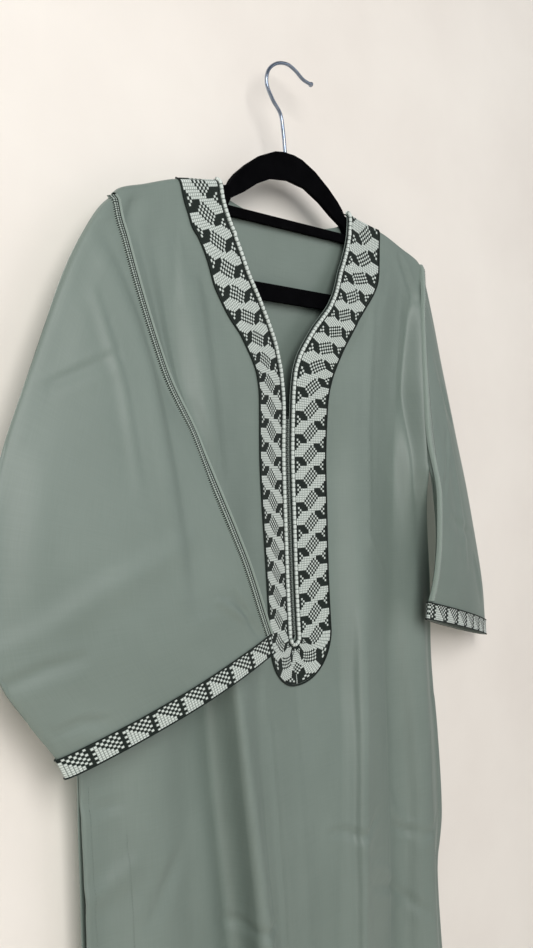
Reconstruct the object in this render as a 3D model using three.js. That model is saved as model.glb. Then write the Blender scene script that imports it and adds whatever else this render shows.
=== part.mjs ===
// A long sage green thobe with a V neck and wide three-quarter sleeves, hung on a slim flocked hanger.
// Units are millimetres. X runs along the wall to the viewer's right, Y into the wall and Z up.
// The origin is the inside top of the hanger's hook, where a rod or a nail carries it.

import * as THREE from "three";

// Cloth and trim thicknesses
const CLOTH = 1.6;
const TRIM = 1.2;
const HALF = CLOTH / 2;
const SEAM_HALF = HALF + 0.4; // from a seam's line to the middle of the cloth on each side of it
const TRIM_LIFT = HALF + 0.65 + TRIM / 2; // from the middle of a panel to the middle of a trim on it

// Garment
const HEM_Z = -1537;
const UNDERARM_Z = -398;
const SLIT_TOP_Z = -330;
const SLIT_END_Z = -560;
const SLIT_X = -18.5; // the chest slit's centre line
const SLIT_HALF = 3.8;
const BAND_START = 6.8; // from the neck edge to the band, room for the beaded cord and its piping
// Cords of the neck: how far out from the neck edge, or past the band's outer edge, and how thick
const NECK_PIPING = { out: 1.0, radius: 0.7 };
const BEADED_CORD = { out: 3.6, radius: 1.5 };
const OUTER_PIPING = { out: 1.2, radius: 0.8 };
const CORD_LIFT = HALF + 0.6; // from the middle of a panel to the back of a cord on it
const FASTENING = { top: -350, margin: 0.4, thick: 2 }; // the knots down the slit
const CUFF_BAND_FROM = 0.93; // share of the sleeve's length at which the 18 mm cuff band starts
const POCKET = { top: -655, bottom: -835, part: 2 }; // side pocket slits, and how far each lip stands off
const SHOULDER_TOP_Z = -133;
const ROLL_Y = 4.9; // from the hanger's middle plane to the cloth just below the shoulder
const ROLL_DROP = 8; // the shoulder roll ends this far below the top

// Hanger
const HANGER_X = -4;
const HANGER_THICK = 5;
const HANGER_HALF_SPAN = 217;
const ARM_BELOW = 3; // the arm's square edges lie this far under the middle of the rolled cloth
const TIE_BAR = { top: -154, bottom: -163 };
const TROUSER_BAR = { top: -220, bottom: -236, half: 150 };
const HOOK_WIRE = 3.6;

// Colours
const SAGE = 0x7f8f83;
const BAND_GREY = 0x9aa69d;
const DARK_GREEN = 0x2f3b35;
const PALE_SILVER = 0xc3ccc6;
const BLACK_FLOCK = 0x0c0c0e;
const CHROME = 0xb9c3cf;

// Shoulder line: height of the cloth at a distance from the hanger's middle
const SHOULDER = [
  { out: 88, z: -131 },
  { out: 96, z: -133 },
  { out: 110, z: -136 },
  { out: 149, z: -142 },
  { out: 190, z: -154.5 },
  { out: 214, z: -162 },
  { out: 223, z: -168.5 },
];
const NECK_OUT = 96; // the back neckline starts this far out
const BACK_NECK_DIP = 17;

// Top edge of the hanger between its neck and the cloth
const ARCH_TOP = [
  { out: 8, z: -88 },
  { out: 20, z: -90 },
  { out: 40, z: -98 },
  { out: 60, z: -110.5 },
  { out: 75, z: -122 },
  { out: 82, z: -129 },
  { out: 86, z: -135 },
  { out: 94, z: -137 },
];
const ARCH_BOTTOM = [
  { out: 0, z: -114 },
  { out: 25, z: -117 },
  { out: 48, z: -127 },
  { out: 66, z: -138 },
  { out: 84, z: -147 },
];

// Under the cloth the hanger's arm follows the shoulder line at these places, then turns down to the bar
const ARM_PLACES = [110, 130, 149, 170, 190, 205, 213];
const ARM_END = [
  { out: HANGER_HALF_SPAN, z: -167 },
  { out: 217.5, z: -172 },
  { out: 214, z: -177 },
  { out: 205, z: -179 },
  { out: 180, z: -187 },
  { out: 165, z: -205 },
  { out: 160, z: -225 },
  { out: TROUSER_BAR.half, z: TROUSER_BAR.bottom },
];
const ARM_INNER = [
  { out: 105, z: TIE_BAR.bottom },
  { out: 170, z: -174 },
  { out: 155, z: -192 },
  { out: 146, z: -212 },
  { out: 138, z: TROUSER_BAR.top },
];
// The hook's wire, from inside the hanger's neck up over the origin to its tip
const HOOK_WAY = [
  { x: -7, z: -87.7 },
  { x: -9, z: -66 },
  { x: -12.5, z: -50 },
  { x: -23, z: -39 },
  { x: -31, z: -25 },
  { x: -28, z: -12 },
  { x: -16, z: -2 },
  { x: 0, z: HOOK_WIRE / 2 },
  { x: 12, z: -1 },
  { x: 24, z: -7 },
  { x: 38, z: -9 },
];
const HOOK_STATIONS = 34;

// The rows of the panels, as heights at the neck. The first four roll over the shoulder.
const LEVELS = [
  -133, -133.8, -136, -141, -152, -168, -188, -210, -232, -252, -270, -286, -300, -314, -330, -350, -374, -398,
  -416, -440, -470, -505, -535, -560, -566, -588, -612, -640, -675, -720, -770, -820, -870, -930, -1000, -1080,
  -1170, -1260, -1350, -1440, -1537,
];
const FADE_END_Z = -330; // the rows are level from here down
const ROLL = [
  { drop: 0, y: 0.5 },
  { drop: 0.8, y: 2.7 },
  { drop: 3, y: 4.3 },
  { drop: ROLL_DROP, y: ROLL_Y },
];
const ROLL_BLEND = 70; // below the shoulder roll the folds grow to their full depth over this height

// Seams of the body: armhole down to the underarm, then the side seam. Front and back share the side seams.
const FRONT_LEFT_SEAM = [
  { z: -168, x: -225, y: -1 },
  { z: -178, x: -224.5, y: -5 },
  { z: -230, x: -216, y: -13 },
  { z: -312, x: -194, y: -22 },
  { z: UNDERARM_Z, x: -161, y: -31.5 },
  { z: -420, x: -165, y: -27 },
  { z: -450, x: -186, y: -19 },
  { z: -530, x: -245, y: -6 },
  { z: -630, x: -275, y: 4 },
  { z: -770, x: -273, y: 5 },
  { z: -1000, x: -280, y: 6 },
  { z: HEM_Z, x: -298, y: 6 },
];
const FRONT_RIGHT_SEAM = [
  { z: -168, x: 218, y: -1 },
  { z: -178, x: 217, y: -5 },
  { z: -230, x: 204, y: -12 },
  { z: -312, x: 191, y: -21 },
  { z: UNDERARM_Z, x: 184, y: -28 },
  { z: -420, x: 187, y: -23 },
  { z: -450, x: 199, y: -13 },
  { z: -530, x: 220, y: 0 },
  { z: -630, x: 227, y: 6 },
  { z: -790, x: 235, y: 6 },
  { z: -860, x: 226, y: 6 },
  { z: -1000, x: 232, y: 6 },
  { z: HEM_Z, x: 250, y: 6 },
];
const BACK_LEFT_ARMHOLE = [
  { z: -168, x: -225, y: 1 },
  { z: -178, x: -225.5, y: 5 },
  { z: -230, x: -226, y: 9 },
  { z: -312, x: -214, y: 13 },
  { z: -370, x: -184, y: -4 },
];
const BACK_RIGHT_ARMHOLE = [
  { z: -168, x: 218, y: 1 },
  { z: -178, x: 219, y: 5 },
  { z: -230, x: 221, y: 9 },
  { z: -312, x: 214, y: 13 },
  { z: -370, x: 197, y: -2 },
];

// Neck edge and the outer edge of its band, on each side
const NECK_LEFT = [
  { z: -133, x: -102 },
  { z: -148, x: -100 },
  { z: -166, x: -95 },
  { z: -190, x: -85.5 },
  { z: -213, x: -75.5 },
  { z: -240, x: -59 },
  { z: -261, x: -46 },
  { z: -279, x: -36 },
  { z: -290, x: -32 },
  { z: -302, x: -28 },
  { z: -313, x: -26 },
  { z: SLIT_TOP_Z, x: SLIT_X - SLIT_HALF - 1 },
  { z: -350, x: SLIT_X - SLIT_HALF },
  { z: SLIT_END_Z, x: SLIT_X - SLIT_HALF },
];
const NECK_RIGHT = [
  { z: -133, x: 83 },
  { z: -151, x: 81 },
  { z: -167, x: 77 },
  { z: -183, x: 70 },
  { z: -199, x: 60 },
  { z: -216, x: 50.5 },
  { z: -234, x: 38 },
  { z: -246, x: 26 },
  { z: -257, x: 15 },
  { z: -270, x: 4.5 },
  { z: -282, x: -4 },
  { z: -291, x: -8.5 },
  { z: -304, x: -12.5 },
  { z: SLIT_TOP_Z, x: SLIT_X + SLIT_HALF },
  { z: SLIT_END_Z, x: SLIT_X + SLIT_HALF },
];
const BAND_EDGE_LEFT = [
  { z: -133, x: -154 },
  { z: -155, x: -149 },
  { z: -165, x: -146 },
  { z: -177, x: -143 },
  { z: -187, x: -137 },
  { z: -201, x: -131 },
  { z: -216, x: -126 },
  { z: -230, x: -122 },
  { z: -246, x: -113.5 },
  { z: -258, x: -106 },
  { z: -277, x: -90 },
  { z: -288, x: -83 },
  { z: -298, x: -77 },
  { z: -310, x: -72 },
  { z: -330, x: -69 },
  { z: -400, x: -68 },
  { z: SLIT_END_Z, x: -65 },
];
const BAND_EDGE_RIGHT = [
  { z: -133, x: 137 },
  { z: -160, x: 133.5 },
  { z: -176, x: 130 },
  { z: -193, x: 124.5 },
  { z: -210, x: 114 },
  { z: -227, x: 100 },
  { z: -242, x: 87.5 },
  { z: -262, x: 72 },
  { z: -274, x: 63 },
  { z: -292, x: 52 },
  { z: -308, x: 44 },
  { z: -323, x: 39.5 },
  { z: -337, x: 38 },
  { z: -400, x: 37 },
  { z: SLIT_END_Z, x: 35 },
];
// How much lower the band's outer edge lies than its inner edge, by the inner edge's height
const BAND_SLANT = [
  { z: -133, down: 0 },
  { z: -160, down: 8 },
  { z: -190, down: 18 },
  { z: -215, down: 24 },
  { z: -240, down: 27 },
  { z: -262, down: 26 },
  { z: -280, down: 20 },
  { z: -300, down: 10 },
  { z: -325, down: 3 },
  { z: -350, down: 0 },
];

// Folds of the front panel: each line runs from the shoulder to the hem, with its place and its depth by height
const FOLD_Z = [-133, -170, -230, -310, -400, -490, -600, -720, -850, -1100, HEM_Z];
const FRONT_FOLDS = {
  leftSoft: { share: 0.5, y: [-5, -6, -11, -16, -30, -17, -14, -13, -14, -16, -18] },
  leftTrough: {
    x: [-192, -190, -182, -170, -153, -147, -137, -125, -113, -106, -102],
    y: [-5, -5, -8, -10, -23, -8, 0, 1, 1, -2, -6],
  },
  leftRidge: {
    x: [-166, -162, -152, -146, -140, -131, -122, -110, -97, -88, -80],
    y: [-5, -6, -12, -17, -22, -24, -26, -27, -28, -27, -26],
  },
  leftBand: { y: [-5, -9, -11, -14, -11, -13, -15, -20, -22, -22, -22] },
  leftCentre: { y: [-5, -9, -10, -4, 1, 1, -2, -10, -14, -14, -14] },
  rightCentre: { y: [-5, -4, -10, -4, 1, 1, -2, -10, -14, -14, -14] },
  rightBand: { y: [-5, -10, -12, -7, -1, -1, -5, -14, -16, -16, -16] },
  rightRidge: {
    x: [152, 150, 126, 92, 83, 78, 71, 60, 47, 35, 25],
    y: [-5, -8, -12, -13, -14, -16, -22, -26, -28, -27, -26],
  },
  rightTrough: {
    x: [178, 175, 168, 160, 156, 150, 143, 144, 144, 142, 140],
    y: [-5, -5, -5, -3, 0, 1, 2, 2, 2, 0, -3],
  },
  rightSoft: {
    x: [200, 197, 189, 177, 173, 185, 187, 188, 188, 190, 196],
    y: [-5, -4, 0, 1, -14, -8, -11, -13, -14, -15, -16],
  },
};
// Cells between neighbouring fold lines, from the left seam to the centre and from the centre to the right seam
const LEFT_CELLS = [2, 3, 2, 3, 3];
const RIGHT_CELLS = [3, 3, 3, 2, 3];

// Lines under the band's outer edge carry on below it as folds
const LEFT_BAND_LOWER = [
  { z: -600, x: -76 },
  { z: -720, x: -82 },
  { z: -850, x: -76 },
  { z: -1100, x: -66 },
  { z: HEM_Z, x: -56 },
];
const RIGHT_BAND_LOWER = [
  { z: -600, x: 42 },
  { z: -720, x: 30 },
  { z: -850, x: 18 },
  { z: -1100, x: 8 },
  { z: HEM_Z, x: 0 },
];

// Folds of the back panel
const BACK_Z = [-133, -170, -230, -310, -370, -398, -450, -530, -630, -850, HEM_Z];
const BACK_FOLDS = {
  leftTurn: {
    x: [-208, -206, -205, -196, -170, -152, -172, -224, -256, -258, -276],
    y: [5, 7, 10, 14, 12, 9, 10, 11, 13, 14, 16],
  },
  leftFold: {
    x: [-130, -130, -132, -135, -128, -122, -130, -140, -146, -150, -160],
    y: [5, 7, 12, 16, 18, 19, 20, 20, 20, 21, 22],
  },
  leftNeck: {
    x: [-100, -100, -92, -80, -74, -72, -70, -70, -70, -72, -78],
    y: [5, 5, 7, 10, 12, 13, 14, 14, 13, 11, 10],
  },
  rightNeck: {
    x: [92, 92, 84, 72, 66, 62, 58, 55, 52, 46, 44],
    y: [5, 5, 8, 13, 16, 18, 19, 20, 21, 22, 22],
  },
  rightFold: {
    x: [135, 135, 134, 132, 128, 126, 126, 128, 132, 136, 142],
    y: [5, 7, 10, 12, 13, 14, 14, 13, 12, 11, 10],
  },
  rightTurn: {
    x: [202, 203, 204, 198, 186, 175, 188, 202, 210, 212, 228],
    y: [5, 7, 10, 14, 12, 9, 10, 12, 14, 16, 18],
  },
};
const BACK_CELLS = [3, 2, 2, 4, 2, 2, 3];
const BACK_ROWS_SKIPPED = 3; // rows of the shoulder roll that the back neckline leaves out

// Sleeves: the outer fold and the under-sleeve seam, from the armhole (share 0) to the cuff (share 1)
const LEFT_SLEEVE = {
  side: -1,
  share: [0, 0.06, 0.16, 0.36, 0.53, 0.66, 0.78, 0.87, 0.93, 1],
  outer: {
    x: [-226, -243, -272, -317, -350, -367, -359, -334, -311, -302.5],
    y: [0, -3, -6, -9, -12, -14, -16, -17, -17.5, -18],
    z: [-169.5, -183, -223, -316, -396, -468, -541, -582, -612, -628],
  },
  under: {
    x: [-162, -159, -155, -143, -130, -119, -109, -102, -98, -92],
    y: [-38, -41, -44, -48, -49, -48, -46, -44, -43, -42],
    z: [-396, -407, -420, -450, -478, -502, -523, -536, -544, -561],
  },
  frontBelly: 14,
  backBelly: 4,
};
const RIGHT_SLEEVE = {
  side: 1,
  share: LEFT_SLEEVE.share,
  outer: {
    x: [219, 229, 246, 272, 297, 319, 337, 350, 355, 357],
    y: [0, 2, 4, 5, 6, 7, 9, 10, 11.5, 12],
    z: [-167.5, -182, -222, -300, -372, -440, -498, -552, -588, -606],
  },
  under: {
    x: [185, 184, 183, 180, 178, 175, 172, 169, 167.5, 166],
    y: [-34, -37, -40, -42, -42, -41, -39, -37, -35, -33],
    z: [-396, -407, -420, -450, -478, -502, -523, -536, -544, -562],
  },
  frontBelly: 12,
  backBelly: 13,
};
// Points across a half sleeve, from the outer fold to the under-sleeve seam, closer at the folds
const ACROSS = [0, 0.012, 0.05, 0.11, 0.2, 0.32, 0.46, 0.6, 0.74, 0.86, 0.94, 0.985, 1];
const RINGS = [0, 0.03, 0.08, 0.16, 0.26, 0.36, 0.46, 0.56, 0.66, 0.76, 0.86, CUFF_BAND_FROM, 1];
const ARMHOLE_STANDOFF = 1.6; // from the panels' cut edges to the sleeve's cut edge
const ARMHOLE_CUT_BACK = 0.4; // from the armhole's line to the panels' cut edges
const ARMHOLE_ROLL = { from: 4, over: 30 }; // the sleeve's edge leaves the shoulder roll over this drop

// Trim over the sleeve's seams: from the shoulder down the armhole, then along the under-sleeve seam
const SEAM_TRIM_WIDTH = 6;
const SEAM_TRIM_LIFT = HALF + 1.3 + TRIM / 2;
const TRIM_STATIONS = 9;
const ARMHOLE_TRIM = { from: 0.02, to: 0.84, inset: 0.8, lean: 0.25 };
const UNDER_TRIM = { from: 0.07, to: 0.915, lean: 0.6 };
const FRONT_HOLD = 3; // how fast the front of a sleeve leaves the armhole's curve
const BACK_HOLD = { outer: 3, under: 9 };
const BELLY_SHAPE = 0.55; // under 1: full to near the folds, as in flattened cloth

// A smooth curve through the rows of a table, with no overshoot between them
function curveThrough(at, value) {
  const n = at.length;
  const slope = at.slice(1).map((a, i) => (value[i + 1] - value[i]) / (a - at[i]));
  const tangent = at.map((_, i) => {
    if (i === 0) return slope[0];
    if (i === n - 1) return slope[n - 2];
    if (slope[i - 1] * slope[i] <= 0) return 0;
    return (2 * slope[i - 1] * slope[i]) / (slope[i - 1] + slope[i]);
  });
  const falling = at[0] > at[n - 1];
  return (a) => {
    let i = at.findIndex((b) => (falling ? b <= a : b >= a));
    if (i === 0) return value[0];
    if (i < 0) return value[n - 1];
    i -= 1;
    const width = at[i + 1] - at[i];
    const t = (a - at[i]) / width;
    const rise = value[i + 1] - value[i];
    const bend = (1 - t) * (tangent[i] * width - rise) + t * (rise - tangent[i + 1] * width);
    return value[i] + rise * t + t * (1 - t) * bend;
  };
}

function column(table, key, name) {
  return curveThrough(
    table.map((row) => row[key]),
    table.map((row) => row[name]),
  );
}

const smooth = (t) => {
  const s = Math.min(1, Math.max(0, t));
  return s * s * (3 - 2 * s);
};
const mix = (a, b, t) => a + (b - a) * t;

const shoulderZ = column(SHOULDER, "out", "z");
const rollY = column(ROLL, "drop", "y");
const seamXY = (table) => ({ x: column(table, "z", "x"), y: column(table, "z", "y") });
const frontLeft = seamXY(FRONT_LEFT_SEAM);
const frontRight = seamXY(FRONT_RIGHT_SEAM);
const sideBelow = (table) => table.filter((row) => row.z <= UNDERARM_Z);
const backLeft = seamXY([...BACK_LEFT_ARMHOLE, ...sideBelow(FRONT_LEFT_SEAM)]);
const backRight = seamXY([...BACK_RIGHT_ARMHOLE, ...sideBelow(FRONT_RIGHT_SEAM)]);
const neckLeftX = column(NECK_LEFT, "z", "x");
const neckRightX = column(NECK_RIGHT, "z", "x");
const bandSlant = column(BAND_SLANT, "z", "down");

// The line that the band's outer edge lies just inside of, carried on below the band
const LINE_MARGIN = 5;
const bandLine = (edge, lower, side) =>
  column([...edge.map((row) => ({ z: row.z, x: row.x + side * LINE_MARGIN })), ...lower], "z", "x");
const bandLineLeft = bandLine(BAND_EDGE_LEFT, LEFT_BAND_LOWER, -1);
const bandLineRight = bandLine(BAND_EDGE_RIGHT, RIGHT_BAND_LOWER, 1);

// Height of a row at a place along the wall: the rows follow the shoulder and level out below it
function rowZ(x, level, neckDip) {
  const out = Math.abs(x - HANGER_X);
  const rollEnd = SHOULDER_TOP_Z - ROLL_DROP;
  const fade = 1 - smooth((rollEnd - level) / (rollEnd - FADE_END_Z));
  const dip = neckDip * Math.max(0, 1 - (out / NECK_OUT) ** 2);
  const drop = out < SHOULDER[0].out ? 0 : shoulderZ(out) - SHOULDER_TOP_Z;
  return level + (drop - dip) * fade;
}

function pocketPart(z) {
  if (z > POCKET.top || z < POCKET.bottom) return 0;
  return POCKET.part * Math.sin((Math.PI * (POCKET.top - z)) / (POCKET.top - POCKET.bottom)) ** 0.5;
}

// Fold lines of a panel at one level, from the left seam to the right seam, as places and depths
const foldCurves = (heights, folds) =>
  Object.fromEntries(
    Object.entries(folds).map(([name, fold]) => [
      name,
      { share: fold.share, x: fold.x && curveThrough(heights, fold.x), y: curveThrough(heights, fold.y) },
    ]),
  );
const frontFolds = foldCurves(FOLD_Z, FRONT_FOLDS);
const backFolds = foldCurves(BACK_Z, BACK_FOLDS);

function seamEdge(seam, z, face) {
  const apart = z < UNDERARM_Z + 1 ? SEAM_HALF + pocketPart(z) : 0;
  return { x: seam.x(z), y: seam.y(z) + face * apart };
}

function frontLines(level) {
  const f = frontFolds;
  const left = seamEdge(frontLeft, edgeZ(frontLeft, level, 0), -1);
  const right = seamEdge(frontRight, edgeZ(frontRight, level, 0), -1);
  const belowSlit = level < SLIT_END_Z - 1;
  const trough = f.leftTrough.x(level);
  return [
    left,
    { x: mix(left.x, trough, f.leftSoft.share), y: f.leftSoft.y(level) },
    { x: trough, y: f.leftTrough.y(level) },
    { x: f.leftRidge.x(level), y: f.leftRidge.y(level) },
    { x: bandLineLeft(level), y: f.leftBand.y(level) },
    { x: belowSlit ? SLIT_X : neckLeftX(level), y: f.leftCentre.y(level) },
    { x: belowSlit ? SLIT_X : neckRightX(level), y: f.rightCentre.y(level) },
    { x: bandLineRight(level), y: f.rightBand.y(level) },
    { x: f.rightRidge.x(level), y: f.rightRidge.y(level) },
    { x: f.rightTrough.x(level), y: f.rightTrough.y(level) },
    { x: f.rightSoft.x(level), y: f.rightSoft.y(level) },
    right,
  ];
}

function backLines(level) {
  const f = backFolds;
  const names = ["leftTurn", "leftFold", "leftNeck", "rightNeck", "rightFold", "rightTurn"];
  return [
    seamEdge(backLeft, edgeZ(backLeft, level, 0), 1),
    ...names.map((name) => ({ x: f[name].x(level), y: f[name].y(level) })),
    seamEdge(backRight, edgeZ(backRight, level, 0), 1),
  ];
}

// Height at which a row meets a seam
function edgeZ(seam, level, neckDip) {
  let z = level;
  for (let i = 0; i < 4; i += 1) z = rowZ(seam.x(z), level, neckDip);
  return z;
}

// Depth of a panel at a place on one level: eased between fold lines, straight under the band
function foldY(lines, x, straight) {
  let i = 0;
  while (i < lines.length - 2 && x > lines[i + 1].x) i += 1;
  const t = Math.min(1, Math.max(0, (x - lines[i].x) / (lines[i + 1].x - lines[i].x || 1)));
  return mix(lines[i].y, lines[i + 1].y, straight.includes(i) ? t : smooth(t));
}

// A point of a panel. The top of the panel rolls over the hanger's arm, and its folds grow below that.
function panelPoint(x, level, face, lines, straight, neckDip) {
  const drop = SHOULDER_TOP_Z - level;
  const grown = smooth((drop - ROLL_DROP) / ROLL_BLEND);
  const y = mix(face * rollY(drop), foldY(lines, x, straight), grown);
  return new THREE.Vector3(x, y, rowZ(x, level, neckDip));
}
const FRONT_STRAIGHT = [4, 6];
const frontPoint = (x, level) => panelPoint(x, level, -1, frontLines(level), FRONT_STRAIGHT, 0);

// A closed wall from a sheet of points and quads, half its thickness to each side of the sheet
function wall(points, quads, thickness) {
  const normals = points.map(() => new THREE.Vector3());
  for (const [a, b, c, d] of quads) {
    const across = points[c].clone().sub(points[a]);
    const n = across.cross(points[d].clone().sub(points[b]));
    for (const corner of [a, b, c, d]) normals[corner].add(n);
  }
  normals.forEach((n) => n.normalize().multiplyScalar(thickness / 2));
  const outer = points.map((p, i) => p.clone().add(normals[i]));
  const inner = points.map((p, i) => p.clone().sub(normals[i]));
  const count = points.length;
  const edges = new Map();
  const index = [];
  const quad = (a, b, c, d) => index.push(a, b, c, a, c, d);
  for (const [a, b, c, d] of quads) {
    quad(a, b, c, d);
    quad(d + count, c + count, b + count, a + count);
    [
      [a, b],
      [b, c],
      [c, d],
      [d, a],
    ].forEach(([p, q]) => {
      if (edges.has(q + "," + p)) edges.delete(q + "," + p);
      else edges.set(p + "," + q, [p, q]);
    });
  }
  for (const [p, q] of edges.values()) quad(q, p, p + count, q + count);
  const geometry = new THREE.BufferGeometry();
  const flat = [...outer, ...inner].flatMap((p) => [p.x, p.y, p.z]);
  geometry.setAttribute("position", new THREE.Float32BufferAttribute(flat, 3));
  geometry.setIndex(index);
  return geometry;
}

// Quads of a grid of points stored row by row. A closed grid joins its last column to its first.
function gridQuads(rows, columns, closed = false) {
  const quads = [];
  for (let r = 0; r < rows - 1; r += 1)
    for (let c = 0; c < (closed ? columns : columns - 1); c += 1) {
      const next = (c + 1) % columns;
      quads.push([
        (r + 1) * columns + c,
        (r + 1) * columns + next,
        r * columns + next,
        r * columns + c,
      ]);
    }
  return quads;
}

// Places along a run of fold lines, with a number of cells between each pair
function spread(lines, cells) {
  const places = [lines[0].x];
  cells.forEach((count, i) => {
    for (let k = 1; k <= count; k += 1) places.push(mix(lines[i].x, lines[i + 1].x, k / count));
  });
  return places;
}

// The front panel: two halves beside the neck and the slit, one cloth below them
function frontPanel() {
  const rows = LEVELS.map((level) => {
    const lines = frontLines(level);
    const left = spread(lines.slice(0, 6), LEFT_CELLS);
    const right = spread(lines.slice(6), RIGHT_CELLS);
    left[0] += armholePull(level);
    right[right.length - 1] -= armholePull(level);
    return { level, left, right, lines };
  });
  const points = [];
  const columns = rows[0].left.length + rows[0].right.length;
  rows.forEach(({ level, left, right, lines }) => {
    for (const x of [...left, ...right]) points.push(panelPoint(x, level, -1, lines, FRONT_STRAIGHT, 0));
  });
  const split = rows[0].left.length;
  const shared = (index) => {
    const row = Math.floor(index / columns);
    const joined = index % columns === split && LEVELS[row] < SLIT_END_Z - 1;
    return joined ? index - 1 : index;
  };
  const quads = gridQuads(LEVELS.length, columns)
    .filter((q) => q[0] % columns !== split - 1)
    .map((q) => q.map(shared));
  return compactWall(points, quads, CLOTH);
}

// Pulls a panel's cut edge back from the armhole's line
function armholePull(level) {
  return level > UNDERARM_Z - 1 ? ARMHOLE_CUT_BACK : 0;
}

function backPanel() {
  const rows = LEVELS.map((level) => ({ level, lines: backLines(level) }));
  const columns = BACK_CELLS.reduce((sum, n) => sum + n, 1);
  const points = rows.flatMap(({ level, lines }) => {
    const places = spread(lines, BACK_CELLS);
    places[0] += armholePull(level);
    places[columns - 1] -= armholePull(level);
    return places.map((x) => panelPoint(x, level, 1, lines, [], BACK_NECK_DIP));
  });
  const neckFrom = BACK_CELLS[0] + BACK_CELLS[1] + BACK_CELLS[2];
  const neckTo = neckFrom + BACK_CELLS[3];
  const quads = gridQuads(LEVELS.length, columns).filter(([, , , first]) => {
    const row = Math.floor(first / columns);
    const place = first % columns;
    return !(row < BACK_ROWS_SKIPPED && place >= neckFrom && place < neckTo);
  });
  return compactWall(points, quads.map((q) => [...q].reverse()), CLOTH);
}

// A wall without the points that no quad uses
function compactWall(points, quads, thickness) {
  const kept = [...new Set(quads.flat())].sort((a, b) => a - b);
  const place = new Map(kept.map((old, i) => [old, i]));
  return wall(
    kept.map((i) => points[i]),
    quads.map((q) => q.map((i) => place.get(i))),
    thickness,
  );
}

// The sleeve's cut edge at the armhole, outside the panels' cut edges
function armholePoint(sleeve, across, face) {
  const top = sleeve.outer.z[0];
  const bottom = sleeve.under.z[0];
  const z = mix(top, bottom, across);
  if (across === 0) return new THREE.Vector3(sleeve.outer.x[0], sleeve.outer.y[0], z);
  if (across === 1) return new THREE.Vector3(sleeve.under.x[0], sleeve.under.y[0], z);
  const left = sleeve.side < 0;
  const seam = face < 0 ? (left ? frontLeft : frontRight) : left ? backLeft : backRight;
  const drop = top - z;
  const y = mix(face * rollY(drop), seam.y(z), smooth((drop - ARMHOLE_ROLL.from) / ARMHOLE_ROLL.over));
  return new THREE.Vector3(seam.x(z) + sleeve.side * ARMHOLE_STANDOFF, y, z);
}

function sleeveCurves(sleeve) {
  const line = (part) => {
    const x = curveThrough(sleeve.share, part.x);
    const y = curveThrough(sleeve.share, part.y);
    const z = curveThrough(sleeve.share, part.z);
    return (share) => new THREE.Vector3(x(share), y(share), z(share));
  };
  return { outer: line(sleeve.outer), under: line(sleeve.under) };
}

function sleevePoint(sleeve, curves, share, across, face) {
  const chord = curves.outer(share).lerp(curves.under(share), across);
  const first = curves.outer(0).lerp(curves.under(0), across);
  const cut = armholePoint(sleeve, across, face).sub(first);
  const hold = (1 - share) ** (face < 0 ? FRONT_HOLD : mix(BACK_HOLD.outer, BACK_HOLD.under, across));
  const belly = face < 0 ? sleeve.frontBelly : sleeve.backBelly;
  const swell = face * belly * Math.sin(Math.PI * across) ** BELLY_SHAPE;
  chord.addScaledVector(cut, hold);
  chord.y += swell * (1 - hold);
  return chord;
}

// A ring of sleeve points: down the front from the outer fold, then back up behind
function sleeveRing(sleeve, curves, share) {
  const front = ACROSS.map((across) => sleevePoint(sleeve, curves, share, across, -1));
  const back = ACROSS.slice(1, -1)
    .reverse()
    .map((across) => sleevePoint(sleeve, curves, share, across, 1));
  return [...front, ...back];
}

function sleeveTube(sleeve) {
  const curves = sleeveCurves(sleeve);
  const rings = RINGS.map((share) => sleeveRing(sleeve, curves, share));
  let quads = gridQuads(rings.length, rings[0].length, true);
  if (sleeve.side > 0) quads = quads.map((q) => [...q].reverse());
  return wall(rings.flat(), quads, CLOTH);
}

// The cuff band: the sleeve's last rings moved out
function cuffBand(sleeve) {
  const curves = sleeveCurves(sleeve);
  const rings = [CUFF_BAND_FROM, 1].map((share) => sleeveRing(sleeve, curves, share));
  const count = rings[0].length;
  const middle = rings[0].reduce((sum, p) => sum.add(p), new THREE.Vector3()).divideScalar(count);
  const lifted = rings.map((ring) =>
    ring.map((p, i) => {
      const along = ring[(i + 1) % count].clone().sub(ring[(i + count - 1) % count]);
      const down = rings[1][i].clone().sub(rings[0][i]);
      const out = along.cross(down).normalize();
      if (out.dot(p.clone().sub(middle)) < 0) out.negate();
      return p.clone().addScaledVector(out, TRIM_LIFT);
    }),
  );
  let quads = gridQuads(2, count, true);
  if (sleeve.side > 0) quads = quads.map((q) => [...q].reverse());
  return wall(lifted.flat(), quads, TRIM);
}

// A point of the front panel moved out from it
function onFront(x, level, lift) {
  const step = 0.5;
  const across = frontPoint(x + step, level).sub(frontPoint(x - step, level));
  const upper = Math.min(SHOULDER_TOP_Z, level + step);
  const down = frontPoint(x, level - step).sub(frontPoint(x, upper));
  const out = down.cross(across).normalize();
  return frontPoint(x, level).addScaledVector(out, lift);
}

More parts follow.
